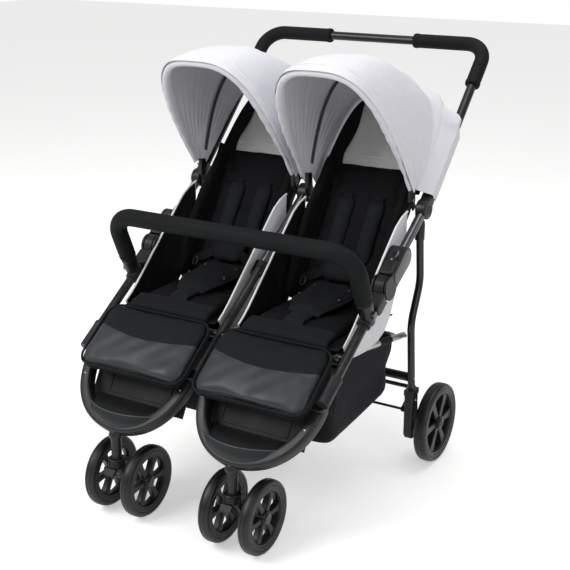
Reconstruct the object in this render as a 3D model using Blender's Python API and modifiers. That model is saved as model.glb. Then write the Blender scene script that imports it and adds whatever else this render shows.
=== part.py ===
"""Side-by-side double stroller: a folding tube frame, two seats and six wheels.

Metres, +Z up, the stroller faces -Y and its own left side is +X. The origin is on
the floor, under the middle of the stroller.
"""

import math

import bmesh
import bpy
from mathutils import Matrix, Vector

# Gaps and running clearances between solids
GAP = 0.0003
RUNNING = 0.0005
SWEEP = 0.002

# Frame, as seen from the side: (y, z) points and directions
SIDE_X = 0.332
FOLD_Y = -0.078
FOLD_Z = 0.551
LOWER_PITCH = math.radians(33.5)
HANDLE_PITCH = math.radians(44.8)
LOWER_REACH = 0.335
HUB_REACH = 0.252
HANDLE_REACH = 0.506
TUBE_RADIUS = 0.0115
TUBE_SIDES = 3
CENTRE_RADIUS = 0.0123
HANDLE_BEND = 0.055

# Fold joint: knuckle on the lower tube, sliding latch on the upper tube
KNUCKLE_RADIUS = 0.0285
KNUCKLE_WIDTH = 0.040
KNUCKLE_FOOT = 0.075
KNUCKLE_HEIGHT = 0.029
TONGUE_WIDTH = 0.0236
FORK_WALL = 0.0022
LATCH_HEIGHT = 0.040
LATCH_TOP = 0.116
LATCH_RIM = 0.010
LATCH_TRAVEL_ROOM = 0.03
HUB_RADIUS = 0.024
HUB_WIDTH = 0.026
HUB_ARM = 0.045

# Seats
SEAT_X = 0.164
SEAT_HALF = 0.110
SEAT_FRONT_Y = -0.214
SEAT_REAR_Y = 0.010
SEAT_BASE_Z = 0.441
SEAT_THICKNESS = 0.030
CROSS_REACH = 0.222
CROSS_RADIUS = 0.0095
SUPPORT_RADIUS = 0.0080
SUPPORT_Y = 0.002

# Backrests
BACK_Y = 0.018
BACK_Z = 0.456
BACK_LEAN = math.radians(34.0)
BACK_FOOT = 0.005
BACK_LENGTH = 0.352
BACK_THICKNESS = 0.022
WING_DEPTH = 0.075
WING_WALL = 0.014
WING_HALF = 0.128

# Side panels of light cloth
PANEL_THICKNESS = 0.0024
PANEL_OUTER_X = 0.3093
PANEL_INNER_X = 0.027

# Calf rests
CALF_HALF = 0.144
CALF_LENGTH = 0.178
CALF_THICKNESS = 0.026
CALF_PITCH = math.radians(36.0)
CALF_CORNER = 0.034
CALF_RISE = 0.012

# Canopies
CANOPY_Y = 0.113
CANOPY_Z = 0.713
CANOPY_HALF = 0.1560
CANOPY_RADIUS = 0.320
CANOPY_PEAK = 0.404
CANOPY_REAR = 0.336
CANOPY_LEVEL = math.radians(75.0)
CANOPY_SHELL = 0.0022
CANOPY_STEP = 0.0050
CANOPY_ROLL = 0.012
CANOPY_POWER = 3.2
HOOD_POWER = 5.0
CANOPY_START = 0.030
FRONT_SPAN = (math.radians(97.0), math.radians(126.0))
MIDDLE_SPAN = (math.radians(70.0), math.radians(98.0))
HOOD_FRONT = math.radians(71.0)
HOOD_FLAT = math.radians(50.0)
HOOD_WRAP = 0.0395
HOOD_REST = 0.0125
HOOD_SHARE = 4 / 7
CURTAIN_HEM = 0.130
CURTAIN_HALF = 0.116

# Bumper bar
BUMPER_Y = -0.233
BUMPER_Z = 0.668
BUMPER_X = 0.335
BUMPER_FOAM = 0.0215
BUMPER_BEND = 0.062
BUMPER_REACH = 0.098
SOCKET_LENGTH = 0.052
SOCKET_RADIUS = 0.019
BUTTON_RADIUS = 0.010
BUTTON_LENGTH = 0.0075
BUTTON_TRAVEL = 0.003

# Hand grips
GRIP_RADIUS = 0.0185
GRIP_TOP = 0.150
GRIP_SIDE = 0.075

# Front modules and casters
CASTER_TRAIL = 0.040
FRONT_WHEEL_RADIUS = 0.0875
FRONT_WHEEL_WIDTH = 0.028
FRONT_WHEEL_OFFSET = 0.053
MODULE_BAND = 0.015
MODULE_THICK = 0.017
MODULE_AHEAD = 0.1106
MODULE_DROP = 0.1491
MODULE_RISE = 0.122
MODULE_OUTER = 0.155
MODULE_SLEEVE = 0.0152
MODULE_SLEEVE_REACH = 0.070
LEDGE_RISE = 0.049
LEDGE_WALL = 0.010
LEDGE_HALF = 0.112
LEDGE_FRONT = 0.001
LEDGE_END = 0.042
LEDGE_REAR = 0.083
PANEL_RISE = 0.118
PANEL_BACK = 0.123
PANEL_WALL = 0.005
STEM_BOSS_RADIUS = 0.019
STEM_BOSS_DROP = 0.012
STEM_BOSS_BACK = 0.005
STEM_RADIUS = 0.0125
COLLAR_RADIUS = 0.0215
COLLAR_TOP_Z = 0.152
COLLAR_BOTTOM_Z = 0.128
AXLE_RADIUS = 0.0042

# Rear legs and wheels
LEG_X = 0.322
LEG_RADIUS = 0.0095
LEG_TOP_DROP = 0.058
LEG_ELBOW = (0.149, 0.500)
LEG_KNEE = (0.104, 0.404)
LEG_END = (0.121, 0.2215)
REAR_WHEEL_X = 0.358
REAR_WHEEL_Y = 0.199
REAR_WHEEL_RADIUS = 0.1045
REAR_WHEEL_WIDTH = 0.034
REAR_AXLE_RADIUS = 0.0055
MOUNT_HALF_DEPTH = 0.017
MOUNT_BOTTOM_Z = 0.084
MOUNT_INNER_X = 0.307
REAR_CROSS_Y = 0.121
REAR_CROSS_Z = 0.250
BRAKE_Y = 0.121
BRAKE_Z = 0.158
BRAKE_ROD_RADIUS = 0.0035
BRAKE_BAR_RADIUS = 0.0055
BRAKE_BAR_Y = 0.180
BRAKE_BAR_Z = 0.196

# Basket
RIM_X = 0.300
RIM_RADIUS = 0.0080
RIM_REAR_Y = 0.080
RIM_REAR_Z = 0.371
RIM_START = 0.021
RIM_BEND = 0.030
BASKET_WALL = 0.003
BASKET_CLEAR = 0.012
BASKET_FRONT_Y = -0.240
BASKET_REAR_Y = 0.066
BASKET_BOTTOM_Z = 0.214
BASKET_BOTTOM_INSET = 0.012
BASKET_FRONT_DROP = 0.022

SIDES = (("left", 1.0), ("right", -1.0))

LOOKS = {
    "black_tube": ((0.018, 0.018, 0.020), 0.35, 0.6),
    "grey_tube": ((0.32, 0.33, 0.34), 0.30, 0.9),
    "black_plastic": ((0.020, 0.020, 0.022), 0.55, 0.0),
    "black_foam": ((0.016, 0.016, 0.017), 0.95, 0.0),
    "black_tyre": ((0.022, 0.022, 0.023), 0.80, 0.0),
    "black_fabric": ((0.013, 0.013, 0.016), 0.90, 0.0),
    "light_fabric": ((0.58, 0.58, 0.63), 0.85, 0.0),
}

PARTS = "double_stroller"
CUTTERS = "cutters"


def side_point(origin, pitch, reach):
    """Return the (y, z) point at a distance along a direction in the side view."""
    return origin[0] + reach * math.cos(pitch), origin[1] + reach * math.sin(pitch)


FOLD = (FOLD_Y, FOLD_Z)
HUB = side_point(FOLD, LOWER_PITCH, HUB_REACH)
HANDLE = side_point(HUB, HANDLE_PITCH, HANDLE_REACH)
CROSS = side_point(FOLD, LOWER_PITCH, -CROSS_REACH)
LOWER_END = side_point(FOLD, LOWER_PITCH, -LOWER_REACH)
CANOPY = (CANOPY_Y, CANOPY_Z)
BACK = (BACK_Y, BACK_Z)
MODULE_LOW_Y = LOWER_END[0] - MODULE_AHEAD
MODULE_LOW_Z = LOWER_END[1] - MODULE_DROP
LEDGE_Z = MODULE_LOW_Z + LEDGE_RISE
LEDGE_FRONT_Y = MODULE_LOW_Y + LEDGE_FRONT
LEDGE_END_Y = MODULE_LOW_Y + LEDGE_END
LEDGE_REAR_Y = MODULE_LOW_Y + LEDGE_REAR
PANEL_TOP_Y = MODULE_LOW_Y + PANEL_BACK
PANEL_TOP_Z = MODULE_LOW_Z + PANEL_RISE
STEM_BOSS_Z = MODULE_LOW_Z - STEM_BOSS_DROP
CASTER_Y = MODULE_LOW_Y + STEM_BOSS_BACK
CASTER_AXLE = (CASTER_Y + CASTER_TRAIL, FRONT_WHEEL_RADIUS)
BASKET_HALF_TOP = RIM_X - BASKET_CLEAR


def start_scene():
    """Empty the scene and make the collections for the parts and the cutters."""
    for item in list(bpy.data.objects):
        bpy.data.objects.remove(item, do_unlink=True)
    for name in (PARTS, CUTTERS):
        collection = bpy.data.collections.get(name) or bpy.data.collections.new(name)
        if name not in bpy.context.scene.collection.children:
            bpy.context.scene.collection.children.link(collection)


def new_material(name, look):
    """Return a Principled material for one part."""
    colour, roughness, metallic = LOOKS[look]
    material = bpy.data.materials.new(name)
    material.use_nodes = True
    shader = material.node_tree.nodes["Principled BSDF"]
    shader.inputs["Base Color"].default_value = (*colour, 1.0)
    shader.inputs["Roughness"].default_value = roughness
    shader.inputs["Metallic"].default_value = metallic
    material.diffuse_color = (*colour, 1.0)
    return material


def link(item, look):
    """Put an object among the parts, or among the cutters when it has no look."""
    if look is None:
        bpy.data.collections[CUTTERS].objects.link(item)
        item.hide_render = True
        item.display_type = "WIRE"
        return item
    bpy.data.collections[PARTS].objects.link(item)
    item.data.materials.append(new_material(item.name, look))
    return item


def place_mesh(name, shape, look, pivot=(0.0, 0.0, 0.0), sharp=35.0):
    """Turn a bmesh into an object whose origin is at the pivot."""
    bmesh.ops.translate(shape, verts=shape.verts, vec=-Vector(pivot))
    bmesh.ops.recalc_face_normals(shape, faces=shape.faces)
    mesh = bpy.data.meshes.new(name)
    shape.to_mesh(mesh)
    shape.free()
    mesh.shade_smooth()
    mesh.set_sharp_from_angle(angle=math.radians(sharp))
    item = bpy.data.objects.new(name, mesh)
    item.location = pivot
    return link(item, look)


def filleted(points, radius, steps=5):
    """Return the corner points of a path with each inner corner made an arc."""
    points = [Vector(point) for point in points]
    path = [points[0]]
    for before, corner, after in zip(points, points[1:], points[2:]):
        inward = (before - corner).normalized()
        outward = (after - corner).normalized()
        half = inward.angle(outward) / 2
        cut = min(radius / math.tan(half), 0.49 * (before - corner).length, 0.49 * (after - corner).length)
        bend = cut * math.tan(half)
        centre = corner + (inward + outward).normalized() * (bend / math.sin(half))
        first = corner + inward * cut - centre
        last = corner + outward * cut - centre
        turn = first.angle(last)
        for step in range(steps + 1):
            part = step / steps
            arc = (first * math.sin((1 - part) * turn) + last * math.sin(part * turn)) / math.sin(turn)
            path.append(centre + arc)
    path.append(points[-1])
    return path


def tube(name, path, radius, look, resolution=TUBE_SIDES, pivot=(0.0, 0.0, 0.0)):
    """Make a capped tube along a path as a curve object."""
    curve = bpy.data.curves.new(name, "CURVE")
    curve.dimensions = "3D"
    curve.bevel_depth = radius
    curve.bevel_resolution = resolution
    curve.use_fill_caps = True
    spline = curve.splines.new("POLY")
    spline.points.add(len(path) - 1)
    for point, place in zip(spline.points, path):
        point.co = (*(Vector(place) - Vector(pivot)), 1.0)
    item = bpy.data.objects.new(name, curve)
    item.location = pivot
    return link(item, look)


def as_mesh(item, look):
    """Replace a curve object by a closed mesh object of the same name and place."""
    bpy.context.view_layer.update()
    evaluated = item.evaluated_get(bpy.context.evaluated_depsgraph_get())
    mesh = bpy.data.meshes.new_from_object(evaluated)
    shape = bmesh.new()
    shape.from_mesh(mesh)
    bmesh.ops.remove_doubles(shape, verts=shape.verts, dist=0.00001)
    bmesh.ops.recalc_face_normals(shape, faces=shape.faces)
    shape.to_mesh(mesh)
    shape.free()
    mesh.materials.clear()
    name = item.name
    matrix = item.matrix_world.copy()
    bpy.data.objects.remove(item, do_unlink=True)
    solid = bpy.data.objects.new(name, mesh)
    solid.matrix_world = matrix
    return link(solid, look)


def combine(target, other, operation):
    """Join a solid to a target, or cut it from the target, with a Boolean."""
    modifier = target.modifiers.new(operation.lower(), "BOOLEAN")
    modifier.operation = operation
    modifier.object = other
    return target


def cylinder(name, start, end, radius, look, segments=24, pivot=(0.0, 0.0, 0.0), end_radius=None):
    """Make a cylinder or a cone between two points."""
    start = Vector(start)
    end = Vector(end)
    shape = bmesh.new()
    bmesh.ops.create_cone(
        shape,
        cap_ends=True,
        segments=segments,
        radius1=radius,
        radius2=radius if end_radius is None else end_radius,
        depth=(end - start).length,
    )
    turn = (end - start).to_track_quat("Z", "Y").to_matrix().to_4x4()
    bmesh.ops.transform(shape, matrix=Matrix.Translation((start + end) / 2) @ turn, verts=shape.verts)
    return place_mesh(name, shape, look, pivot)


def block(name, low, high, look, bevel=0.0, pivot=(0.0, 0.0, 0.0), pitch=0.0, about=(0.0, 0.0)):
    """Make a box between two corners, turned by a pitch about a (y, z) point."""
    low = Vector(low)
    high = Vector(high)
    shape = bmesh.new()
    bmesh.ops.create_cube(shape, size=1.0)
    bmesh.ops.scale(shape, vec=high - low, verts=shape.verts)
    bmesh.ops.translate(shape, vec=(low + high) / 2, verts=shape.verts)
    if bevel:
        bmesh.ops.bevel(shape, geom=shape.edges[:], offset=bevel, segments=2, profile=0.5, affect="EDGES")
    centre = Matrix.Translation((0.0, *about))
    turn = centre @ Matrix.Rotation(pitch, 4, "X") @ centre.inverted()
    bmesh.ops.transform(shape, matrix=turn, verts=shape.verts)
    return place_mesh(name, shape, look, pivot)


def prism(name, outline, low_x, high_x, look, bevel=0.0, pivot=(0.0, 0.0, 0.0)):
    """Extrude a (y, z) outline along X between two planes."""
    shape = bmesh.new()
    face = shape.faces.new([shape.verts.new((low_x, y, z)) for y, z in outline])
    pushed = bmesh.ops.extrude_face_region(shape, geom=[face])
    moved = [part for part in pushed["geom"] if isinstance(part, bmesh.types.BMVert)]
    bmesh.ops.translate(shape, vec=(high_x - low_x, 0.0, 0.0), verts=moved)
    if bevel:
        bmesh.ops.recalc_face_normals(shape, faces=shape.faces)
        rims = [edge for edge in shape.edges if abs(edge.verts[0].co.x - edge.verts[1].co.x) < GAP / 10]
        bmesh.ops.bevel(shape, geom=rims, offset=bevel, segments=2, profile=0.5, affect="EDGES")
    return place_mesh(name, shape, look, pivot)


def arc(centre, radius, start, end, steps):
    """Return points on an arc in the side view, both ends included; angles in radians."""
    angles = [start + (end - start) * step / steps for step in range(steps + 1)]
    return [(centre[0] + radius * math.cos(angle), centre[1] + radius * math.sin(angle)) for angle in angles]


def slab(name, across, along, outer, inner, look, pivot=(0.0, 0.0, 0.0), sharp=50.0):
    """Close two matching grids of points into one padded or shell-like solid.

    outer and inner take two values from 0 to 1 and return a point of each face.
    """
    shape = bmesh.new()
    faces = []
    for surface in (outer, inner):
        rows = []
        for row in range(along + 1):
            line = [shape.verts.new(surface(column / across, row / along)) for column in range(across + 1)]
            rows.append(line)
        faces.append(rows)
    for rows in faces:
        for low, high in zip(rows, rows[1:]):
            for column in range(across):
                shape.faces.new((low[column], low[column + 1], high[column + 1], high[column]))
    front, back = faces
    rim_front = front[0] + [row[-1] for row in front[1:]] + front[-1][-2::-1] + [row[0] for row in front[-2:0:-1]]
    rim_back = back[0] + [row[-1] for row in back[1:]] + back[-1][-2::-1] + [row[0] for row in back[-2:0:-1]]
    count = len(rim_front)
    for index in range(count):
        following = (index + 1) % count
        shape.faces.new((rim_front[index], rim_front[following], rim_back[following], rim_back[index]))
    return place_mesh(name, shape, look, pivot, sharp)


def sleeve(name, path, outer_radius, inner_radius, look, sides=10, pivot=(0.0, 0.0, 0.0)):
    """Make a thick hose with an open bore along a path."""
    path = [Vector(point) for point in path]
    shape = bmesh.new()
    side = None
    rings = []
    for index, point in enumerate(path):
        ahead = path[min(index + 1, len(path) - 1)] - point
        behind = point - path[max(index - 1, 0)]
        forward = (ahead.normalized() + behind.normalized()).normalized()
        if side is None:
            side = forward.orthogonal().normalized()
        side = (side - forward * side.dot(forward)).normalized()
        up = forward.cross(side)
        stretch = 1.0
        if 0 < index < len(path) - 1:
            stretch = 1.0 / max(math.cos(ahead.angle(behind) / 2), 0.5)
        ring = []
        for radius in (outer_radius, inner_radius):
            angles = [math.tau * step / sides for step in range(sides)]
            offsets = [(side * math.cos(angle) + up * math.sin(angle)) * radius for angle in angles]
            ring.append([shape.verts.new(point + offset * stretch ** 0.5) for offset in offsets])
        rings.append(ring)
    for low, high in zip(rings, rings[1:]):
        for layer in (0, 1):
            for step in range(sides):
                following = (step + 1) % sides
                shape.faces.new((low[layer][step], low[layer][following], high[layer][following], high[layer][step]))
    for ring in (rings[0], rings[-1]):
        for step in range(sides):
            following = (step + 1) % sides
            shape.faces.new((ring[0][step], ring[0][following], ring[1][following], ring[1][step]))
    return place_mesh(name, shape, look, pivot)


def turned(name, profile, look, place, segments):
    """Turn an (x, radius) profile round the X axis through a place, as a closed ring."""
    mesh = bpy.data.meshes.new(name)
    count = len(profile)
    mesh.from_pydata(
        [(radius, 0.0, -x) for x, radius in profile],
        [(index, (index + 1) % count) for index in range(count)],
        [],
    )
    item = bpy.data.objects.new(name, mesh)
    screw = item.modifiers.new("turn", "SCREW")
    screw.axis = "Z"
    screw.angle = math.tau
    screw.steps = segments
    screw.render_steps = segments
    screw.use_merge_vertices = True
    screw.merge_threshold = 0.00001
    item.rotation_euler = (0.0, math.radians(90.0), 0.0)
    item.location = place
    return link(item, look)


def add_fork(body, name, x, half, origin, pitch, reach, radius):
    """Join two cheek plates round a pivot to the end of a tube that stops short of it.

    half is the distance from the tube's middle plane to the cheeks, reach the distance
    from the pivot at which a pin joins them to the tube.
    """
    pin = side_point(origin, pitch, reach)
    end = half + FORK_WALL
    middle = half + FORK_WALL / 2
    bridge = cylinder(f"{name}_pin", (x - middle, *pin), (x + middle, *pin), radius * 0.5, None, 10)
    combine(body, bridge, "UNION")
    for cheek in (-1, 1):
        outline = arc(origin, radius, pitch + math.pi / 2, pitch + math.pi * 1.5, 6)
        outline += arc(pin, radius * 0.75, pitch - math.pi / 2, pitch + math.pi / 2, 4)
        near = x + cheek * half
        far = x + cheek * end
        plate = prism(f"{name}_cheek_{cheek}", outline, min(near, far), max(near, far), None)
        combine(body, plate, "UNION")


def add_main_tubes():
    """Lower frame tubes, from the front modules up to the fold joints."""
    start = side_point(FOLD, LOWER_PITCH, -LOWER_REACH)
    for side, sign in SIDES:
        end = side_point(FOLD, LOWER_PITCH, -KNUCKLE_FOOT - GAP)
        x = sign * SIDE_X
        tube(f"main_tube_{side}", [(x, *start), (x, *end)], TUBE_RADIUS, "black_tube")
    end = side_point(FOLD, LOWER_PITCH, -CENTRE_RADIUS - SWEEP)
    path = [(0.0, *start), (0.0, *end)]
    centre = as_mesh(tube("centre_lower_tube", path, TUBE_RADIUS, "black_tube"), "black_tube")
    add_fork(centre, "centre", 0.0, CENTRE_RADIUS + RUNNING, FOLD, LOWER_PITCH + math.pi, 0.028, 0.011)
    hole = cylinder("cross_hole", (-SIDE_X, *CROSS), (SIDE_X, *CROSS), CROSS_RADIUS + GAP, None, 16)
    combine(centre, hole, "DIFFERENCE")


def add_knuckles():
    """Plastic fold knuckles: a round tongue at the pivot and a wide foot below it."""
    back = LOWER_PITCH + math.pi
    half = KNUCKLE_HEIGHT / 2
    notch_radius = KNUCKLE_RADIUS + 2 * SWEEP
    spread = math.asin(half / notch_radius)
    shoulder = side_point(FOLD, LOWER_PITCH, -KNUCKLE_FOOT + half * 0.4)
    flat = side_point(FOLD, LOWER_PITCH, -KNUCKLE_FOOT)
    across = (-math.sin(LOWER_PITCH), math.cos(LOWER_PITCH))
    foot_end = [(shoulder[0] - across[0] * half, shoulder[1] - across[1] * half),
                (flat[0] - across[0] * half * 0.8, flat[1] - across[1] * half * 0.8),
                (flat[0] + across[0] * half * 0.8, flat[1] + across[1] * half * 0.8),
                (shoulder[0] + across[0] * half, shoulder[1] + across[1] * half)]
    for side, sign in SIDES:
        x = sign * SIDE_X
        outline = arc(FOLD, notch_radius, back - spread, back + spread, 6) + foot_end
        foot = prism(
            f"fold_knuckle_{side}", outline, x - KNUCKLE_WIDTH / 2, x + KNUCKLE_WIDTH / 2, "black_plastic"
        )
        disc = cylinder(
            f"knuckle_disc_{side}", (x - TONGUE_WIDTH / 2, *FOLD), (x + TONGUE_WIDTH / 2, *FOLD),
            KNUCKLE_RADIUS, None, 20,
        )
        neck = block(
            f"knuckle_neck_{side}",
            (x - TONGUE_WIDTH / 2, FOLD_Y - KNUCKLE_RADIUS - 0.012, FOLD_Z - 0.012),
            (x + TONGUE_WIDTH / 2, FOLD_Y, FOLD_Z + 0.012),
            None, pitch=LOWER_PITCH, about=FOLD,
        )
        combine(foot, disc, "UNION")
        combine(foot, neck, "UNION")


def add_upper_tubes():
    """Bright tubes from the fold joints up to the hubs, forked round the knuckles."""
    start = side_point(FOLD, LOWER_PITCH, KNUCKLE_RADIUS + SWEEP)
    end = side_point(FOLD, LOWER_PITCH, HUB_REACH - HUB_RADIUS - GAP)
    for side, sign in SIDES:
        x = sign * SIDE_X
        path = [(x, *start), (x, *end)]
        body = as_mesh(tube(f"upper_tube_{side}", path, TUBE_RADIUS, "grey_tube", pivot=(x, *FOLD)), "grey_tube")
        add_fork(body, f"fork_{side}", x, TONGUE_WIDTH / 2 + RUNNING, FOLD, LOWER_PITCH, 0.048, 0.0135)
    path = [(0.0, *FOLD), (0.0, *HUB)]
    centre = as_mesh(tube("centre_upper_tube", path, CENTRE_RADIUS, "grey_tube"), "grey_tube")
    knob = cylinder("centre_hub", (-HUB_WIDTH / 2, *HUB), (HUB_WIDTH / 2, *HUB), HUB_RADIUS, None, 20)
    combine(centre, knob, "UNION")


def add_latches():
    """Fold latches: housings that slide up the bright tubes to free the fold joints."""
    half = KNUCKLE_WIDTH / 2
    slot = TONGUE_WIDTH / 2 + RUNNING + FORK_WALL + RUNNING
    spread = math.asin((LATCH_HEIGHT / 2) / KNUCKLE_RADIUS)
    for side, sign in SIDES:
        x = sign * SIDE_X
        nose = arc(FOLD, KNUCKLE_RADIUS, LOWER_PITCH + spread, LOWER_PITCH + math.tau - spread, 16)
        top = side_point(FOLD, LOWER_PITCH, LATCH_TOP - LATCH_HEIGHT / 2)
        crown = arc(top, LATCH_HEIGHT / 2 + LATCH_RIM / 2, LOWER_PITCH - math.pi / 2, LOWER_PITCH + math.pi / 2, 8)
        housing = prism(f"fold_latch_{side}", nose + crown, x - half, x + half, "black_plastic",
                        pivot=(x, *FOLD))
        room = block(
            f"latch_room_{side}",
            (x - slot, FOLD_Y - KNUCKLE_RADIUS - 0.02, FOLD_Z - 0.05),
            (x + slot, FOLD_Y + LATCH_TRAVEL_ROOM + 0.038, FOLD_Z + 0.05),
            None, pitch=LOWER_PITCH, about=FOLD,
        )
        bore = cylinder(
            f"latch_bore_{side}", (x, *side_point(FOLD, LOWER_PITCH, 0.01)),
            (x, *side_point(FOLD, LOWER_PITCH, LATCH_TOP + 0.03)), TUBE_RADIUS + RUNNING, None,
        )
        combine(housing, room, "DIFFERENCE")
        combine(housing, bore, "DIFFERENCE")


def add_handle():
    """Hubs, the one-piece push handle and the foam grips over its corners."""
    foot = side_point(HUB, HANDLE_PITCH, HUB_ARM + GAP)
    corners = [(SIDE_X, *foot), (SIDE_X, *HANDLE), (-SIDE_X, *HANDLE), (-SIDE_X, *foot)]
    tube("handle_tube", filleted(corners, HANDLE_BEND, 6), TUBE_RADIUS, "black_tube")
    for side, sign in SIDES:
        x = sign * SIDE_X
        low = side_point(HANDLE, HANDLE_PITCH, -HANDLE_BEND - GRIP_SIDE)
        grip = filleted(
            [(x, *low), (x, *HANDLE), (x - sign * (HANDLE_BEND + GRIP_TOP), *HANDLE)], HANDLE_BEND, 6)
        sleeve(f"grip_{side}", grip, GRIP_RADIUS, TUBE_RADIUS + SWEEP, "black_foam")
        outline = arc(HUB, HUB_RADIUS, HANDLE_PITCH + 0.62, HANDLE_PITCH + math.tau - 0.62, 18)
        arm = side_point(HUB, HANDLE_PITCH, HUB_ARM)
        across = (-math.sin(HANDLE_PITCH) * TUBE_RADIUS * 1.15, math.cos(HANDLE_PITCH) * TUBE_RADIUS * 1.15)
        outline += [(arm[0] - across[0], arm[1] - across[1]), (arm[0] + across[0], arm[1] + across[1])]
        prism(f"hub_{side}", outline, x - HUB_WIDTH / 2, x + HUB_WIDTH / 2, "black_plastic")


def leg_path(x):
    """Return the path of a rear leg in one plane, from below the hub to the wheel mount."""
    top = (HUB[0] + 0.004, HUB[1] - LEG_TOP_DROP)
    return filleted([(x, *top), (x, *LEG_ELBOW), (x, *LEG_KNEE), (x, *LEG_END)], 0.09, 4)


def add_rear_frame():
    """Rear legs with their pivot lugs, the welded cross tube and the wheel mounts."""
    for side, sign in SIDES:
        x = sign * LEG_X
        leg = as_mesh(tube(f"rear_leg_{side}", leg_path(x), LEG_RADIUS, "black_tube", pivot=(sign * SIDE_X, *HUB)),
                      "black_tube")
        inner = sign * (LEG_X - LEG_RADIUS * 0.75)
        face = sign * (SIDE_X - HUB_WIDTH / 2 - RUNNING)
        outline = arc(HUB, 0.015, 0.0, math.pi, 8)
        low_z = HUB[1] - LEG_TOP_DROP - 0.022
        outline += [(HUB[0] - 0.004, low_z), (HUB[0] + 0.012, low_z)]
        lug = prism(f"leg_lug_{side}", outline, min(inner, face), max(inner, face), None)
        combine(leg, lug, "UNION")
    cross_end = LEG_X - LEG_RADIUS - GAP
    cross = as_mesh(
        tube("rear_cross_tube", [(-cross_end, REAR_CROSS_Y, REAR_CROSS_Z), (cross_end, REAR_CROSS_Y, REAR_CROSS_Z)],
             TUBE_RADIUS, "black_tube", pivot=(0.0, *HUB)), "black_tube")
    post_path = leg_path(0.0)[:-1] + [Vector((0.0, REAR_CROSS_Y, REAR_CROSS_Z))]
    post = as_mesh(tube("centre_post", post_path, LEG_RADIUS, None), None)
    combine(cross, post, "UNION")
    add_fork(cross, "post", 0.0, HUB_WIDTH / 2 + RUNNING, HUB, -math.pi / 2, LEG_TOP_DROP + 0.014, 0.010)
    for side, sign in SIDES:
        add_wheel_mount(side, sign)


def add_wheel_mount(side, sign):
    """Plastic boot under a rear leg, with the arm and axle of its wheel."""
    top_z = LEG_END[1] - SWEEP
    inner = sign * MOUNT_INNER_X
    outer = sign * (REAR_WHEEL_X - REAR_WHEEL_WIDTH / 2 - RUNNING * 3)
    centre = (LEG_END[0] + 0.002, 0.0)
    boss = (REAR_WHEEL_Y, REAR_WHEEL_RADIUS)
    outline = [
        (centre[0] - MOUNT_HALF_DEPTH, top_z),
        (centre[0] - MOUNT_HALF_DEPTH, MOUNT_BOTTOM_Z + 0.01),
        (centre[0] - MOUNT_HALF_DEPTH + 0.006, MOUNT_BOTTOM_Z),
        (centre[0] + MOUNT_HALF_DEPTH, MOUNT_BOTTOM_Z),
    ]
    outline += arc(boss, 0.019, -math.pi / 2, math.pi / 2, 8)
    outline += [(centre[0] + MOUNT_HALF_DEPTH, 0.150), (centre[0] + MOUNT_HALF_DEPTH, top_z)]
    mount = prism(f"wheel_mount_{side}", outline, min(inner, outer), max(inner, outer), "black_plastic")
    axle_end = sign * (REAR_WHEEL_X + REAR_WHEEL_WIDTH / 2 - 0.006)
    axle = cylinder(f"rear_axle_{side}", (inner + sign * 0.01, *boss), (axle_end, *boss), REAR_AXLE_RADIUS, None, 16)
    combine(mount, axle, "UNION")


def wheel_profile(radius, width, bore):
    """Return the closed (x, radius) outline of a wheel: hub, web, rim and round tyre."""
    half = width / 2
    web = 0.0045
    hub = 0.017
    rim = radius - 0.024
    tyre = radius - 0.010
    return [
        (half - 0.002, bore), (half - 0.002, hub), (web, hub), (web, rim),
        (half - 0.002, rim + 0.003), (half, tyre), (half * 0.5, radius), (-half * 0.5, radius),
        (-half, tyre), (-half + 0.002, rim + 0.003),
        (-web, rim), (-web, hub), (-half + 0.002, hub), (-half + 0.002, bore),
    ]


def add_wheel(name, place, radius, width, bore, segments):
    """Make a six-spoked wheel whose axle lies along X."""
    wheel = turned(name, wheel_profile(radius, width, bore), "black_tyre", place, segments)
    windows = bmesh.new()
    inner = 0.0235
    outer = radius - 0.0285
    for spoke in range(6):
        middle = math.tau * (spoke + 0.5) / 6
        near = math.radians(12.0)
        far = math.radians(21.0)
        corners = [(inner, -near), (outer, -far), (outer * 1.015, 0.0), (outer, far), (inner, near)]
        flat = [(reach * math.cos(middle + turn), reach * math.sin(middle + turn)) for reach, turn in corners]
        low = [windows.verts.new((place[0] - width, place[1] + y, place[2] + z)) for y, z in flat]
        high = [windows.verts.new((place[0] + width, place[1] + y, place[2] + z)) for y, z in flat]
        windows.faces.new(low)
        windows.faces.new(high)
        for index in range(len(flat)):
            following = (index + 1) % len(flat)
            windows.faces.new((low[index], low[following], high[following], high[index]))
    combine(wheel, place_mesh(f"{name}_windows", windows, None), "DIFFERENCE")


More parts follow.
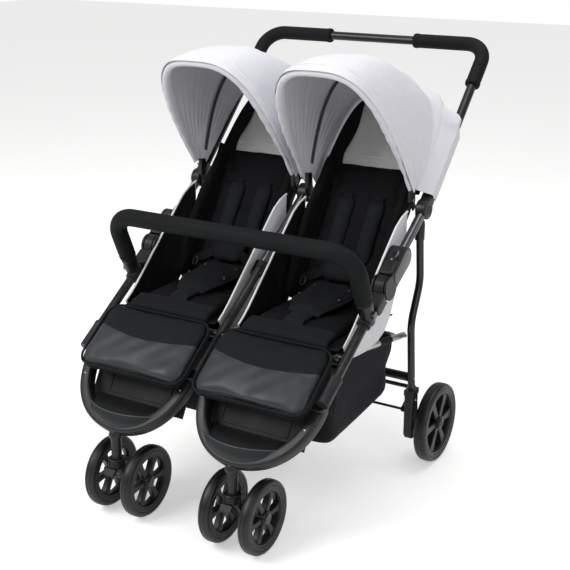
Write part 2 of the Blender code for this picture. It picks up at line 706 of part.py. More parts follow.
def add_casters():
    """Swivel casters: fork, swivel lock and two wheels each."""
    span = FRONT_WHEEL_OFFSET - FRONT_WHEEL_WIDTH / 2
    for side, sign in SIDES:
        x = sign * SEAT_X
        pivot = (x, CASTER_Y, STEM_BOSS_Z)
        fork = cylinder(f"caster_fork_{side}", (x, CASTER_Y, COLLAR_BOTTOM_Z), (x, CASTER_Y, STEM_BOSS_Z - RUNNING),
                        STEM_RADIUS, "black_plastic", 16, pivot)
        collar = cylinder(f"collar_{side}", (x, CASTER_Y, COLLAR_BOTTOM_Z), (x, CASTER_Y, COLLAR_TOP_Z),
                          COLLAR_RADIUS, None, 20)
        outline = [(CASTER_Y - 0.014, COLLAR_BOTTOM_Z + 0.006), (CASTER_Y + 0.017, COLLAR_BOTTOM_Z + 0.006)]
        outline += arc(CASTER_AXLE, 0.018, math.pi / 2, -math.pi / 2, 8)
        arm = prism(f"caster_arm_{side}", outline, x - 0.016, x + 0.016, None)
        hub = cylinder(f"caster_hub_{side}", (x - span + 0.002, *CASTER_AXLE), (x + span - 0.002, *CASTER_AXLE),
                       0.0135, None, 16)
        reach = FRONT_WHEEL_OFFSET + FRONT_WHEEL_WIDTH / 2 - 0.004
        axle = cylinder(f"caster_axle_{side}", (x - reach, *CASTER_AXLE), (x + reach, *CASTER_AXLE),
                        AXLE_RADIUS, None, 12)
        for piece in (collar, arm, hub, axle):
            combine(fork, piece, "UNION")
        lock_y = CASTER_Y - COLLAR_RADIUS
        prism(f"swivel_lock_{side}",
              [(lock_y - 0.002, COLLAR_BOTTOM_Z + 0.004), (lock_y - 0.013, COLLAR_BOTTOM_Z - 0.004),
               (lock_y - 0.013, COLLAR_BOTTOM_Z - 0.010), (lock_y - 0.002, COLLAR_BOTTOM_Z - 0.003),
               (lock_y + 0.006, COLLAR_BOTTOM_Z - 0.003), (lock_y + 0.006, COLLAR_BOTTOM_Z - GAP),
               (lock_y - 0.001, COLLAR_BOTTOM_Z - GAP)],
              x - 0.014, x + 0.014, "black_plastic", pivot=(x, lock_y, COLLAR_BOTTOM_Z))
        for place, offset in (("outer", sign), ("inner", -sign)):
            wheel_x = x + offset * FRONT_WHEEL_OFFSET
            add_wheel(f"front_wheel_{side}_{place}", (wheel_x, *CASTER_AXLE), FRONT_WHEEL_RADIUS,
                      FRONT_WHEEL_WIDTH, AXLE_RADIUS + RUNNING, 24)


def add_rear_wheels():
    """Two larger rear wheels outside the wheel mounts."""
    for side, sign in SIDES:
        place = (sign * REAR_WHEEL_X, REAR_WHEEL_Y, REAR_WHEEL_RADIUS)
        add_wheel(f"rear_wheel_{side}", place, REAR_WHEEL_RADIUS, REAR_WHEEL_WIDTH, REAR_AXLE_RADIUS + RUNNING, 28)


def add_brake():
    """Foot brake: a rod between the wheel mounts with two arms and a foot bar."""
    half = MOUNT_INNER_X - RUNNING * 2
    rod = cylinder("brake_bar", (-half, BRAKE_Y, BRAKE_Z), (half, BRAKE_Y, BRAKE_Z), BRAKE_ROD_RADIUS,
                   "black_plastic", 12, (0.0, BRAKE_Y, BRAKE_Z))
    bar = cylinder("brake_foot_bar", (-half, BRAKE_BAR_Y, BRAKE_BAR_Z), (half, BRAKE_BAR_Y, BRAKE_BAR_Z),
                   BRAKE_BAR_RADIUS, None, 12)
    combine(rod, bar, "UNION")
    for side, sign in SIDES:
        low_x = sign * (half - 0.001)
        high_x = sign * (half - 0.009)
        outline = arc((BRAKE_Y, BRAKE_Z), 0.007, math.radians(122), math.radians(302), 6)
        outline += arc((BRAKE_BAR_Y, BRAKE_BAR_Z), 0.008, math.radians(-58), math.radians(122), 6)
        arm = prism(f"brake_arm_{side}", outline, min(low_x, high_x), max(low_x, high_x), None)
        combine(rod, arm, "UNION")


def module_path(x, inner_reach, outer_reach, steps=16):
    """Return the middle line of a front module's U, which rises at 45 degrees up to the frame tubes."""
    path = []
    top = (MODULE_LOW_Y + MODULE_RISE - 0.003, MODULE_LOW_Z + MODULE_RISE + MODULE_BAND)
    for step in range(steps + 1):
        part = -1.0 + 2.0 * step / steps
        reach = abs(inner_reach if part < 0 else outer_reach)
        sign = math.copysign(1.0, part * (outer_reach if part > 0 else -inner_reach))
        rise = MODULE_RISE * part ** 2
        spread = math.sin(abs(part) * math.pi / 2) * 0.82 + abs(part) * 0.18
        inset = MODULE_BAND * (1 - part ** 2) * math.sqrt(0.5)
        path.append(Vector((x + sign * reach * spread, MODULE_LOW_Y + rise + inset, MODULE_LOW_Z + rise + inset)))
    return [Vector((path[0].x, *top))] + path + [Vector((path[-1].x, *top))]


def band(name, path, half_width, half_height, look):
    """Sweep a chamfered box section along a path that lies in a plane rising at 45 degrees."""
    shape = bmesh.new()
    rings = []
    up = Vector((0.0, -1.0, 1.0)).normalized()
    section = [(1, -0.6), (1, 0.6), (0.6, 1), (-0.6, 1), (-1, 0.6), (-1, -0.6), (-0.6, -1), (0.6, -1)]
    for index, point in enumerate(path):
        ahead = path[min(index + 1, len(path) - 1)]
        behind = path[max(index - 1, 0)]
        out = (ahead - behind).cross(up).normalized()
        rings.append([shape.verts.new(point + out * a * half_width + up * b * half_height) for a, b in section])
    for low, high in zip(rings, rings[1:]):
        for step in range(len(section)):
            following = (step + 1) % len(section)
            shape.faces.new((low[step], low[following], high[following], high[step]))
    shape.faces.new(rings[0])
    shape.faces.new(rings[-1])
    return place_mesh(name, shape, look)


def loft(name, low, high, look=None):
    """Close two matching loops of points into a solid."""
    shape = bmesh.new()
    low = [shape.verts.new(point) for point in low]
    high = [shape.verts.new(point) for point in high]
    shape.faces.new(low)
    shape.faces.new(high)
    for index in range(len(low)):
        following = (index + 1) % len(low)
        shape.faces.new((low[index], low[following], high[following], high[index]))
    bmesh.ops.triangulate(shape, faces=shape.faces[:])
    return place_mesh(name, shape, look)


def add_modules():
    """Moulded front modules: U-shaped arch, footrest ledge, upper panel and caster boss."""
    for side, sign in SIDES:
        x = sign * SEAT_X
        inner_reach = SEAT_X - TUBE_RADIUS - GAP - MODULE_BAND
        path = module_path(x, -sign * inner_reach, sign * MODULE_OUTER)
        module = band(f"front_module_{side}", path, MODULE_BAND, MODULE_THICK, "black_plastic")
        edge = [(LEDGE_HALF * part, LEDGE_END_Y + (LEDGE_FRONT_Y - LEDGE_END_Y) * (1 - part ** 2))
                for part in (-1.0, -0.6, -0.2, 0.2, 0.6, 1.0)]
        rear = [(LEDGE_HALF, LEDGE_REAR_Y), (-LEDGE_HALF, LEDGE_REAR_Y)]
        high = [(x + dx, y, LEDGE_Z) for dx, y in edge + rear]
        low = [(x + dx * 0.86, MODULE_LOW_Y + MODULE_BAND * 1.5 + 2.5 * dx ** 2,
                MODULE_LOW_Z + MODULE_BAND * 0.4 + 2.5 * dx ** 2) for dx, _ in edge]
        low += [(x + LEDGE_HALF, LEDGE_REAR_Y, LEDGE_Z - LEDGE_WALL), (x - LEDGE_HALF, LEDGE_REAR_Y, LEDGE_Z - LEDGE_WALL)]
        combine(module, loft(f"ledge_{side}", low, high), "UNION")
        pitch = math.atan2(PANEL_TOP_Z - LEDGE_Z, PANEL_TOP_Y - LEDGE_REAR_Y)
        length = math.hypot(PANEL_TOP_Z - LEDGE_Z, PANEL_TOP_Y - LEDGE_REAR_Y)
        panel = block(
            f"panel_{side}",
            (x - LEDGE_HALF - 0.024, LEDGE_REAR_Y - 0.012, LEDGE_Z - PANEL_WALL - 0.006),
            (x + LEDGE_HALF + 0.024, LEDGE_REAR_Y + length, LEDGE_Z - 0.006),
            None, pitch=pitch, about=(LEDGE_REAR_Y, LEDGE_Z),
        )
        combine(module, panel, "UNION")
        boss = cylinder(f"stem_boss_{side}", (x, CASTER_Y, STEM_BOSS_Z), (x, CASTER_Y, LEDGE_Z - 0.020),
                        STEM_BOSS_RADIUS, None, 16)
        combine(module, boss, "UNION")
        tube_x = sign * SIDE_X
        tip = side_point(FOLD, LOWER_PITCH, -LOWER_REACH - 0.006)
        mouth = side_point(FOLD, LOWER_PITCH, -LOWER_REACH + MODULE_SLEEVE_REACH)
        beyond = side_point(FOLD, LOWER_PITCH, -LOWER_REACH + MODULE_SLEEVE_REACH + 0.02)
        floor = side_point(FOLD, LOWER_PITCH, -LOWER_REACH - GAP)
        socket = cylinder(f"tube_sleeve_{side}", (tube_x, *tip), (tube_x, *mouth), MODULE_SLEEVE, None, 18)
        bore = cylinder(f"tube_bore_{side}", (tube_x, *floor), (tube_x, *beyond), TUBE_RADIUS + GAP, None, 18)
        combine(module, socket, "UNION")
        combine(module, bore, "DIFFERENCE")


def add_cross_tubes():
    """Front cross tube of the seats and the tube under their rear edges."""
    end = SIDE_X - TUBE_RADIUS - GAP
    tube("front_cross_tube", [(-end, *CROSS), (end, *CROSS)], CROSS_RADIUS, "black_tube")
    support_z = SEAT_BASE_Z - SUPPORT_RADIUS - GAP
    half = RIM_X - RIM_RADIUS - GAP
    tube("seat_support_tube", [(-half, SUPPORT_Y, support_z), (half, SUPPORT_Y, support_z)], SUPPORT_RADIUS,
         "black_tube", pivot=(0.0, *CROSS))


def add_cushions():
    """Seat cushions with a crown, drawn-in edges and three cross channels."""
    for side, sign in SIDES:
        centre = sign * SEAT_X

        def top(u, v):
            across = 2 * u - 1
            along = 2 * v - 1
            edge = (1 - abs(across) ** 4) * (1 - abs(along) ** 6)
            channel = 0.0035 * math.cos(v * math.pi * 4) ** 8
            pull = 1 - 0.03 * abs(along) ** 3
            height = SEAT_THICKNESS * (0.55 + 0.45 * edge ** 0.6) - channel * edge
            y = SEAT_FRONT_Y + (SEAT_REAR_Y - SEAT_FRONT_Y) * v
            return centre + across * SEAT_HALF * pull, y, SEAT_BASE_Z + height

        def bottom(u, v):
            x, y, _ = top(u, v)
            return x, y, SEAT_BASE_Z

        slab(f"seat_cushion_{side}", 10, 12, top, bottom, "black_fabric")


def back_point(x, forward, up):
    """Return a point of a backrest: x, distance in front of its back and distance up it."""
    y = BACK_Y + up * math.sin(BACK_LEAN) - forward * math.cos(BACK_LEAN)
    z = BACK_Z + up * math.cos(BACK_LEAN) + forward * math.sin(BACK_LEAN)
    return x, y, z


def add_backrests():
    """Padded backrests with side wings, hinged at the rear of the seats."""
    turn = 0.30
    for side, sign in SIDES:
        centre = sign * SEAT_X

        def shell(u, v, inset):
            across = 2 * u - 1
            flat = min(abs(across) / (1 - turn), 1.0)
            wing = max(abs(across) - (1 - turn), 0.0) / turn
            x = math.copysign(1.0, across) * flat * (WING_HALF - inset)
            up = BACK_FOOT + v * BACK_LENGTH
            depth = WING_DEPTH * (0.55 + 0.45 * math.sin(math.pi * min(v * 1.15, 1.0)))
            return centre + x, inset + wing * (depth - inset), up

        def back(u, v):
            return back_point(*shell(u, v, 0.0))

        def front(u, v):
            x, forward, up = shell(u, v, WING_WALL)
            across = abs(2 * u - 1)
            pad = 0.006 * max(1 - (across / 0.65) ** 4, 0.0)
            pad -= 0.004 * max(math.cos(v * math.pi * 5), 0.0) ** 6 * (across < 0.6)
            return back_point(x, forward + pad + BACK_THICKNESS - WING_WALL if across < 1 - turn else forward, up)

        slab(f"backrest_{side}", 16, 12, front, back, "black_fabric", (centre, *BACK))


def add_harnesses():
    """Five-point harness pads lying on the backrests, joined at the buckle."""
    lift = BACK_THICKNESS + 0.008
    for side, sign in SIDES:
        centre = sign * SEAT_X
        pads = None
        low_up = 0.05
        pieces = (
            ("buckle", -0.042, 0.042, low_up - 0.018, low_up + 0.072, 0.020),
            ("shoulder_a", -0.062, -0.018, low_up + 0.025, low_up + 0.200, 0.012),
            ("shoulder_b", 0.018, 0.062, low_up + 0.025, low_up + 0.200, 0.012),
        )
        for name, left, right, low, high, thick in pieces:
            shape = bmesh.new()
            bmesh.ops.create_cube(shape, size=1.0)
            bmesh.ops.scale(shape, vec=(right - left, high - low, thick), verts=shape.verts)
            bmesh.ops.bevel(shape, geom=shape.edges[:], offset=thick * 0.3, segments=2, profile=0.5, affect="EDGES")
            middle = Vector(back_point(centre + (left + right) / 2, lift + thick / 2, (low + high) / 2))
            turn = Matrix.Rotation(math.pi / 2 - BACK_LEAN, 4, "X")
            bmesh.ops.transform(shape, matrix=Matrix.Translation(middle) @ turn, verts=shape.verts)
            look = "black_fabric" if pads is None else None
            node = f"harness_{side}" if pads is None else f"harness_{name}_{side}"
            piece = place_mesh(node, shape, look, (centre, *BACK) if pads is None else (0.0, 0.0, 0.0))
            if pads is None:
                pads = piece
            else:
                combine(pads, piece, "UNION")


def add_side_panels():
    """Light cloth panels at both sides of both seats."""
    edge = [(-0.225, 0.452), (-0.178, 0.474), (-0.120, 0.520), (-0.045, 0.588), (0.030, 0.662), (0.085, 0.690)]
    rear = [(0.080, 0.610), (0.015, 0.480), (-0.020, 0.425), (-0.110, 0.405), (-0.205, 0.412)]
    for side, sign in SIDES:
        for place, x in (("outer", PANEL_OUTER_X), ("inner", PANEL_INNER_X)):
            low = min(sign * x, sign * (x + PANEL_THICKNESS))
            high = max(sign * x, sign * (x + PANEL_THICKNESS))
            prism(f"side_panel_{side}_{place}", edge + rear, low, high, "light_fabric")


def add_calf_rests():
    """Padded calf rests hinged on the front cross tube."""
    for side, sign in SIDES:
        centre = sign * SEAT_X

        def place(u, v, height):
            across = 2 * u - 1
            along = v * CALF_LENGTH
            near = min(along, CALF_LENGTH - along)
            trim = 0.0
            if near < CALF_CORNER:
                trim = CALF_CORNER - math.sqrt(max(CALF_CORNER ** 2 - (CALF_CORNER - near) ** 2, 0.0))
            half = CALF_HALF - trim * 0.9
            forward = 0.008 - along
            y = CROSS[0] + forward * math.cos(CALF_PITCH) - height * math.sin(CALF_PITCH)
            z = CROSS[1] + forward * math.sin(CALF_PITCH) + height * math.cos(CALF_PITCH)
            return centre + across * half, y, z

        def top(u, v):
            across = 2 * u - 1
            crown = (1 - abs(across) ** 4) * (1 - abs(2 * v - 1) ** 4)
            wave = 0.004 * math.sin(across * 4.0) * v ** 4
            return place(u, v, CALF_RISE + CALF_THICKNESS * (0.62 + 0.38 * crown) + wave)

        def bottom(u, v):
            return place(u, v, CALF_RISE)

        slab(f"calf_rest_{side}", 12, 11, top, bottom, "black_fabric", (centre, *CROSS))


def arch(u, half, radius, power=CANOPY_POWER):
    """Return (x, reach) on a canopy's arch; u runs from one hub over the top to the other."""
    angle = math.pi * u
    x = -half * math.copysign(abs(math.cos(angle)) ** (2 / power), math.cos(angle))
    reach = radius * abs(math.sin(angle)) ** (2 / power)
    return x, max(reach, CANOPY_START)


def canopy_radius(angle):
    """Return the height of the canopy's ridge over the hubs at an angle round them."""
    if angle > CANOPY_LEVEL:
        part = (angle - CANOPY_LEVEL) / (FRONT_SPAN[1] - CANOPY_LEVEL)
        return CANOPY_RADIUS + (CANOPY_PEAK - CANOPY_RADIUS) * part ** 1.3
    part = max((HOOD_FLAT - angle) / (HOOD_FLAT - HANDLE_PITCH), 0.0)
    return CANOPY_RADIUS + (CANOPY_REAR - CANOPY_RADIUS) * part


def spin(centre, x, reach, angle):
    """Return the point at a distance and an angle round the canopy hubs' axis."""
    return centre + x, CANOPY[0] + reach * math.cos(angle), CANOPY[1] + reach * math.sin(angle)


def canopy_band(centre, layer, span):
    """Return the outer and inner surfaces of the front or the middle canopy."""
    def surface(u, v, thick):
        angle = span[1] + (span[0] - span[1]) * v
        if thick and layer == 0 and v < 0.4:
            thick += CANOPY_ROLL * math.sin(math.pi * (0.25 + 0.75 * v / 0.4))
        inset = layer * CANOPY_STEP + thick
        x, reach = arch(u, CANOPY_HALF - inset, canopy_radius(angle) - inset)
        return spin(centre, x, reach, angle)

    return (lambda u, v: surface(u, v, 0.0)), (lambda u, v: surface(u, v, CANOPY_SHELL))


def hood_arch(u, inset):
    """Return (x, reach) on the rear edge of a hood."""
    return arch(u, CANOPY_HALF - inset, CANOPY_REAR - inset, HOOD_POWER)


def tube_side_point(centre, x, reach, drop):
    """Return a point seen from the handle tube's direction: out from the hub, then square to the tube."""
    _, y, z = spin(centre, x, reach, HANDLE_PITCH)
    return centre + x, y + math.sin(HANDLE_PITCH) * drop, z - math.cos(HANDLE_PITCH) * drop


def hood_surface(centre, sign, thick):
    """Return the surface of a rear hood, which wraps round the outside of the handle tube."""
    inset = 2 * CANOPY_STEP + thick
    half = CANOPY_HALF - inset
    wall = SIDE_X + HUB_WIDTH / 2 + RUNNING + CANOPY_SHELL - thick - SEAT_X

    def surface(u, v):
        if v < HOOD_SHARE:
            part = v / HOOD_SHARE
            angle = HOOD_FRONT + (HANDLE_PITCH - HOOD_FRONT) * part
            rise = max((HOOD_FLAT - angle) / (HOOD_FLAT - HANDLE_PITCH), 0.0)
            x, reach = arch(u, half, canopy_radius(angle) - inset, CANOPY_POWER + (HOOD_POWER - CANOPY_POWER) * rise)
            return spin(centre, x, reach, angle)
        part = (v - HOOD_SHARE) / (1 - HOOD_SHARE)
        x, reach = hood_arch(u, inset)
        spread = abs(x) / half
        wrap = HOOD_WRAP - thick
        if x * sign > 0 and spread > 0.85:
            if spread < 0.96:
                wrap = HOOD_REST
            if spread > 0.93:
                x += (sign * wall - x) * min(part * 3, 1.0)
        return tube_side_point(centre, x, reach, wrap * part)

    return surface


def curtain_surface(centre, thick):
    """Return a face of the curtain that hangs from the rear edge of a hood."""
    def surface(u, v):
        x = CURTAIN_HALF * (2 * u - 1)
        inset = 2 * CANOPY_STEP + CANOPY_SHELL / 2
        spread = abs(x) / (CANOPY_HALF - inset)
        top = (CANOPY_REAR - inset) * (1 - spread ** HOOD_POWER) ** (1 / HOOD_POWER)
        reach = CURTAIN_HEM + (top - CURTAIN_HEM) * v
        return tube_side_point(centre, x, reach, HOOD_WRAP - CANOPY_SHELL * 2 - thick)

    return surface


def add_canopies():
    """Canopies: front part with its padded rim, middle part, and rear hood with a curtain."""
    for side, sign in SIDES:
        centre = sign * SEAT_X
        for name, span, layer, rows in (("front", FRONT_SPAN, 0, 6), ("middle", MIDDLE_SPAN, 1, 4)):
            outer, inner = canopy_band(centre, layer, span)
            slab(f"canopy_{name}_{side}", 18, rows, outer, inner, "light_fabric", (centre, *CANOPY))
        hood = slab(f"canopy_hood_{side}", 18, 7, hood_surface(centre, sign, 0.0),
                    hood_surface(centre, sign, CANOPY_SHELL), "light_fabric", (centre, *CANOPY))
        curtain = slab(f"curtain_{side}", 8, 2, curtain_surface(centre, 0.0), curtain_surface(centre, CANOPY_SHELL), None)
        combine(hood, curtain, "UNION")


def add_bumper():
    """Foam-covered bumper bar, its sockets on the main tubes and their release buttons."""
    socket_end = side_point(FOLD, LOWER_PITCH, -BUMPER_REACH)
    lean = math.atan2(BUMPER_Z - socket_end[1], BUMPER_Y - socket_end[0])
    foot = side_point(socket_end, lean, SOCKET_LENGTH)
    corners = [(BUMPER_X, *foot), (BUMPER_X, BUMPER_Y, BUMPER_Z), (-BUMPER_X, BUMPER_Y, BUMPER_Z), (-BUMPER_X, *foot)]
    tube("bumper_bar", filleted(corners, BUMPER_BEND, 6), BUMPER_FOAM, "black_foam", 5,
         pivot=(0.0, BUMPER_Y, BUMPER_Z))
    for side, sign in SIDES:
        x = sign * BUMPER_X
        top = side_point(socket_end, lean, SOCKET_LENGTH - GAP)
        socket = cylinder(f"bumper_socket_{side}", (x, *side_point(socket_end, lean, -0.010)), (x, *top),
                          SOCKET_RADIUS * 0.85, "black_plastic", 20, end_radius=SOCKET_RADIUS)
        clamp = cylinder(f"socket_clamp_{side}", (sign * SIDE_X, *side_point(FOLD, LOWER_PITCH, -BUMPER_REACH - 0.02)),
                         (sign * SIDE_X, *side_point(FOLD, LOWER_PITCH, -KNUCKLE_FOOT - 0.004)),
                         TUBE_RADIUS + 0.0055, None, 20)
        combine(socket, clamp, "UNION")
        bore = cylinder(f"socket_bore_{side}", (sign * SIDE_X, *side_point(FOLD, LOWER_PITCH, -BUMPER_REACH - 0.06)),
                        (sign * SIDE_X, *side_point(FOLD, LOWER_PITCH, -KNUCKLE_FOOT + 0.03)),
                        TUBE_RADIUS + GAP, None, 20)
        combine(socket, bore, "DIFFERENCE")
        press = side_point(socket_end, lean, 0.018)
        outer = sign * (BUMPER_X + SOCKET_RADIUS + 0.0035)
        cylinder(f"bumper_button_{side}", (outer - sign * BUTTON_LENGTH, *press), (outer, *press), BUTTON_RADIUS,
                 "black_plastic", 16, (outer, *press))
        pocket = cylinder(f"button_pocket_{side}", (outer - sign * (BUTTON_LENGTH + BUTTON_TRAVEL + RUNNING), *press),
                          (outer + sign * 0.01, *press), BUTTON_RADIUS + RUNNING, None, 16)
        combine(socket, pocket, "DIFFERENCE")


def add_basket():
    """Basket rim tube and the open cloth basket that hangs from it."""
    start = (CROSS[0] + RIM_START, CROSS[1] + (RIM_REAR_Z - CROSS[1]) * RIM_START / (RIM_REAR_Y - CROSS[0]))
    corners = [(RIM_X, *start), (RIM_X, RIM_REAR_Y, RIM_REAR_Z), (-RIM_X, RIM_REAR_Y, RIM_REAR_Z), (-RIM_X, *start)]
    tube("basket_rim", filleted(corners, RIM_BEND, 5), RIM_RADIUS, "grey_tube", 3, pivot=(0.0, *CROSS))

    slope = (RIM_REAR_Z - CROSS[1]) / (RIM_REAR_Y - CROSS[0])
    shape = bmesh.new()
    layers = []
    for wall in (0.0, BASKET_WALL):
        half = BASKET_HALF_TOP - wall
        front = BASKET_FRONT_Y + wall
        rear = BASKET_REAR_Y - wall
        high = []
        low = []
        for x, y, drop in ((-half, front, BASKET_FRONT_DROP), (half, front, BASKET_FRONT_DROP),
                           (half, rear, 0.0), (-half, rear, 0.0)):
            rim_z = CROSS[1] + slope * (y - CROSS[0]) - RIM_RADIUS - SWEEP
            inward = BASKET_BOTTOM_INSET
            high.append(shape.verts.new((x, y, rim_z - drop)))
            low.append(shape.verts.new((x - math.copysign(inward, x), y - math.copysign(inward / 2, y),
                                        BASKET_BOTTOM_Z + wall)))
        layers.append((high, low))
    (high_out, low_out), (high_in, low_in) = layers
    shape.faces.new(low_out)
    shape.faces.new(low_in)
    for index in range(4):
        following = (index + 1) % 4
        shape.faces.new((high_out[index], high_out[following], low_out[following], low_out[index]))
        shape.faces.new((high_in[index], high_in[following], low_in[following], low_in[index]))
        shape.faces.new((high_out[index], high_out[following], high_in[following], high_in[index]))
    place_mesh("basket", shape, "black_fabric", (0.0, *CROSS))


def main():
    """Build every part of the stroller."""
    start_scene()
    add_main_tubes()
    add_knuckles()
    add_upper_tubes()
    add_latches()
    add_handle()
    add_rear_frame()
    add_rear_wheels()
    add_brake()
    add_casters()
    add_modules()
    add_cross_tubes()
    add_cushions()
    add_backrests()
    add_harnesses()
    add_side_panels()
    add_calf_rests()
    add_canopies()
    add_bumper()
    add_basket()


main()
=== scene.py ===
"""Looks of a side-by-side double stroller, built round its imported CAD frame.

Everything is in metres, +Z up. The stroller faces -Y and its own left side is +X.
"""

import logging
import math
from dataclasses import dataclass
from enum import Enum
from typing import Callable, Iterable, Sequence

import bmesh
import bpy
from mathutils import Matrix, Vector, kdtree, noise


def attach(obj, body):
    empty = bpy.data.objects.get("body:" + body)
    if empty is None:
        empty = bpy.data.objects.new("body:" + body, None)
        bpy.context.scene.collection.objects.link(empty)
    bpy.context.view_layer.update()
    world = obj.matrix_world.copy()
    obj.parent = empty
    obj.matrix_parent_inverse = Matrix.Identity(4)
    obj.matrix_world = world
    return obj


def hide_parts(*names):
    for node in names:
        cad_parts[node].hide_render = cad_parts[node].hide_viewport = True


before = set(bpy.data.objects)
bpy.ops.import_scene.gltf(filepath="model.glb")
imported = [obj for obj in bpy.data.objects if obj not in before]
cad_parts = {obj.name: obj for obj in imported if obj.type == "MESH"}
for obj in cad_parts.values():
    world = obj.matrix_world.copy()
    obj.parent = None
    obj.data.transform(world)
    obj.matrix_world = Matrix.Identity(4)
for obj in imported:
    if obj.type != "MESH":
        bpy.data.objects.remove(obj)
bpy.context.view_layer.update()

LOG = logging.getLogger("stroller")
Surface = Callable[[float, float], Vector]
Colour = tuple[float, float, float]

SIDES = (("left", 1.0), ("right", -1.0))
UP = Vector((0.0, 0.0, 1.0))


class Body(Enum):
    """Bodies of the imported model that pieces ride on."""

    FRAME = "frame"
    LINK = "seat_link"
    UPPER = "upper_frame"
    REAR = "rear_frame"
    BUMPER = "bumper"
    BRAKE = "brake"


@dataclass(frozen=True)
class Layout:
    """Main points and sizes of the frame in the side view, as the CAD has them."""

    side_x: float = 0.332
    fold: tuple[float, float] = (-0.078, 0.551)
    lower_pitch: float = math.radians(33.5)
    handle_pitch: float = math.radians(44.8)
    lower_reach: float = 0.335
    hub_reach: float = 0.252
    handle_reach: float = 0.506
    cross_reach: float = 0.222
    tube_radius: float = 0.0115
    seat_x: float = 0.164
    seat_base: float = 0.441
    rim_x: float = 0.300
    rim_rear: tuple[float, float] = (0.080, 0.371)
    rim_radius: float = 0.008

    def along(self, origin: tuple[float, float], pitch: float, reach: float) -> tuple[float, float]:
        """Return the (y, z) point at a distance along a direction.

        Args:
            origin: (y, z) of the start.
            pitch: angle above the horizontal, towards +Y, in radians.
            reach: distance in metres.

        Returns:
            The (y, z) point.
        """
        return origin[0] + reach * math.cos(pitch), origin[1] + reach * math.sin(pitch)

    @property
    def hub(self) -> tuple[float, float]:
        """Return the (y, z) centre of the hubs."""
        return self.along(self.fold, self.lower_pitch, self.hub_reach)

    @property
    def handle(self) -> tuple[float, float]:
        """Return the (y, z) point of the handle's cross bar."""
        return self.along(self.hub, self.handle_pitch, self.handle_reach)

    @property
    def cross(self) -> tuple[float, float]:
        """Return the (y, z) point of the front cross tube."""
        return self.along(self.fold, self.lower_pitch, -self.cross_reach)

    @property
    def lower_axis(self) -> Vector:
        """Return the direction up the lower tube's line."""
        return Vector((0.0, math.cos(self.lower_pitch), math.sin(self.lower_pitch)))

    @property
    def lower_up(self) -> Vector:
        """Return the direction square to the lower tube's line."""
        return Vector((0.0, -math.sin(self.lower_pitch), math.cos(self.lower_pitch)))

    def rim_z(self, y: float) -> float:
        """Return the height of the basket rim's middle line at a place."""
        cross = self.cross
        slope = (self.rim_rear[1] - cross[1]) / (self.rim_rear[0] - cross[0])
        return cross[1] + slope * (y - cross[0])

    def on_lower(self, x: float, reach: float, lift: float = 0.0) -> Vector:
        """Return a point along the lower tube's line, measured from the fold, and lifted square to it."""
        y, z = self.along(self.fold, self.lower_pitch, reach)
        return Vector((x, y - lift * math.sin(self.lower_pitch), z + lift * math.cos(self.lower_pitch)))

    def on_handle(self, x: float, reach: float, lift: float = 0.0) -> Vector:
        """Return a point along the handle's side tube, measured from the hub, and lifted square to it."""
        y, z = self.along(self.hub, self.handle_pitch, reach)
        return Vector((x, y - lift * math.sin(self.handle_pitch), z + lift * math.cos(self.handle_pitch)))


PLAN = Layout()


@dataclass
class Sided:
    """A sub-assembly that is built once for each side of the stroller."""

    side: str
    sign: float

    @property
    def centre(self) -> float:
        """Return the x of the seat's middle."""
        return self.sign * PLAN.seat_x

    @property
    def tube_x(self) -> float:
        """Return the x of the side tube."""
        return self.sign * PLAN.side_x

    @property
    def out(self) -> Vector:
        """Return the direction away from the stroller's middle."""
        return Vector((self.sign, 0.0, 0.0))


def smooth(low: float, high: float, value: float) -> float:
    """Return 0 below low, 1 above high and a soft step between them."""
    part = min(max((value - low) / (high - low), 0.0), 1.0)
    return part * part * (3.0 - 2.0 * part)


def bent(value: float, power: float) -> float:
    """Return a value raised to a power, with its sign kept."""
    return math.copysign(abs(value) ** power, value)


def crease(point: Vector, scale: float, seed: float = 0.0) -> float:
    """Return smooth noise from -1 to 1 at a point.

    Args:
        point: place in metres.
        scale: lumps per metre.
        seed: moves the pattern, so that two pieces differ.

    Returns:
        The noise value.
    """
    return noise.noise(Vector(point) * scale + Vector((seed, seed * 0.7, seed * 1.3)))


class Nodes:
    """Short way to write a node tree."""

    def __init__(self, tree: bpy.types.NodeTree) -> None:
        """Keep the tree that nodes are added to."""
        self.tree = tree

    def add(self, kind: str, values: dict | None = None, **settings: object) -> bpy.types.Node:
        """Add a node.

        Args:
            kind: the node's type name.
            values: socket name or index to a value, or to an output socket to link.
            settings: attributes of the node.

        Returns:
            The new node.
        """
        node = self.tree.nodes.new(kind)
        for name, value in settings.items():
            setattr(node, name, value)
        for key, value in (values or {}).items():
            if isinstance(value, bpy.types.NodeSocket):
                self.tree.links.new(value, node.inputs[key])
            else:
                node.inputs[key].default_value = value
        return node

    def maths(self, operation: str, first: object, second: object = 0.0) -> bpy.types.NodeSocket:
        """Add a Math node and return its output."""
        return self.add("ShaderNodeMath", {0: first, 1: second}, operation=operation).outputs[0]

    def ramp(self, value: bpy.types.NodeSocket, low: float, high: float) -> bpy.types.NodeSocket:
        """Return the value stretched from low..high to 0..1."""
        return self.add(
            "ShaderNodeMapRange", {"Value": value, "From Min": low, "From Max": high}, clamp=True
        ).outputs[0]

    def mixed(self, share: object, first: object, second: object) -> bpy.types.NodeSocket:
        """Return two colours mixed by a share."""
        node = self.add("ShaderNodeMix", data_type="RGBA")
        for socket, value in ((node.inputs[0], share), (node.inputs[6], first), (node.inputs[7], second)):
            if isinstance(value, bpy.types.NodeSocket):
                self.tree.links.new(value, socket)
            else:
                socket.default_value = value
        return node.outputs[2]


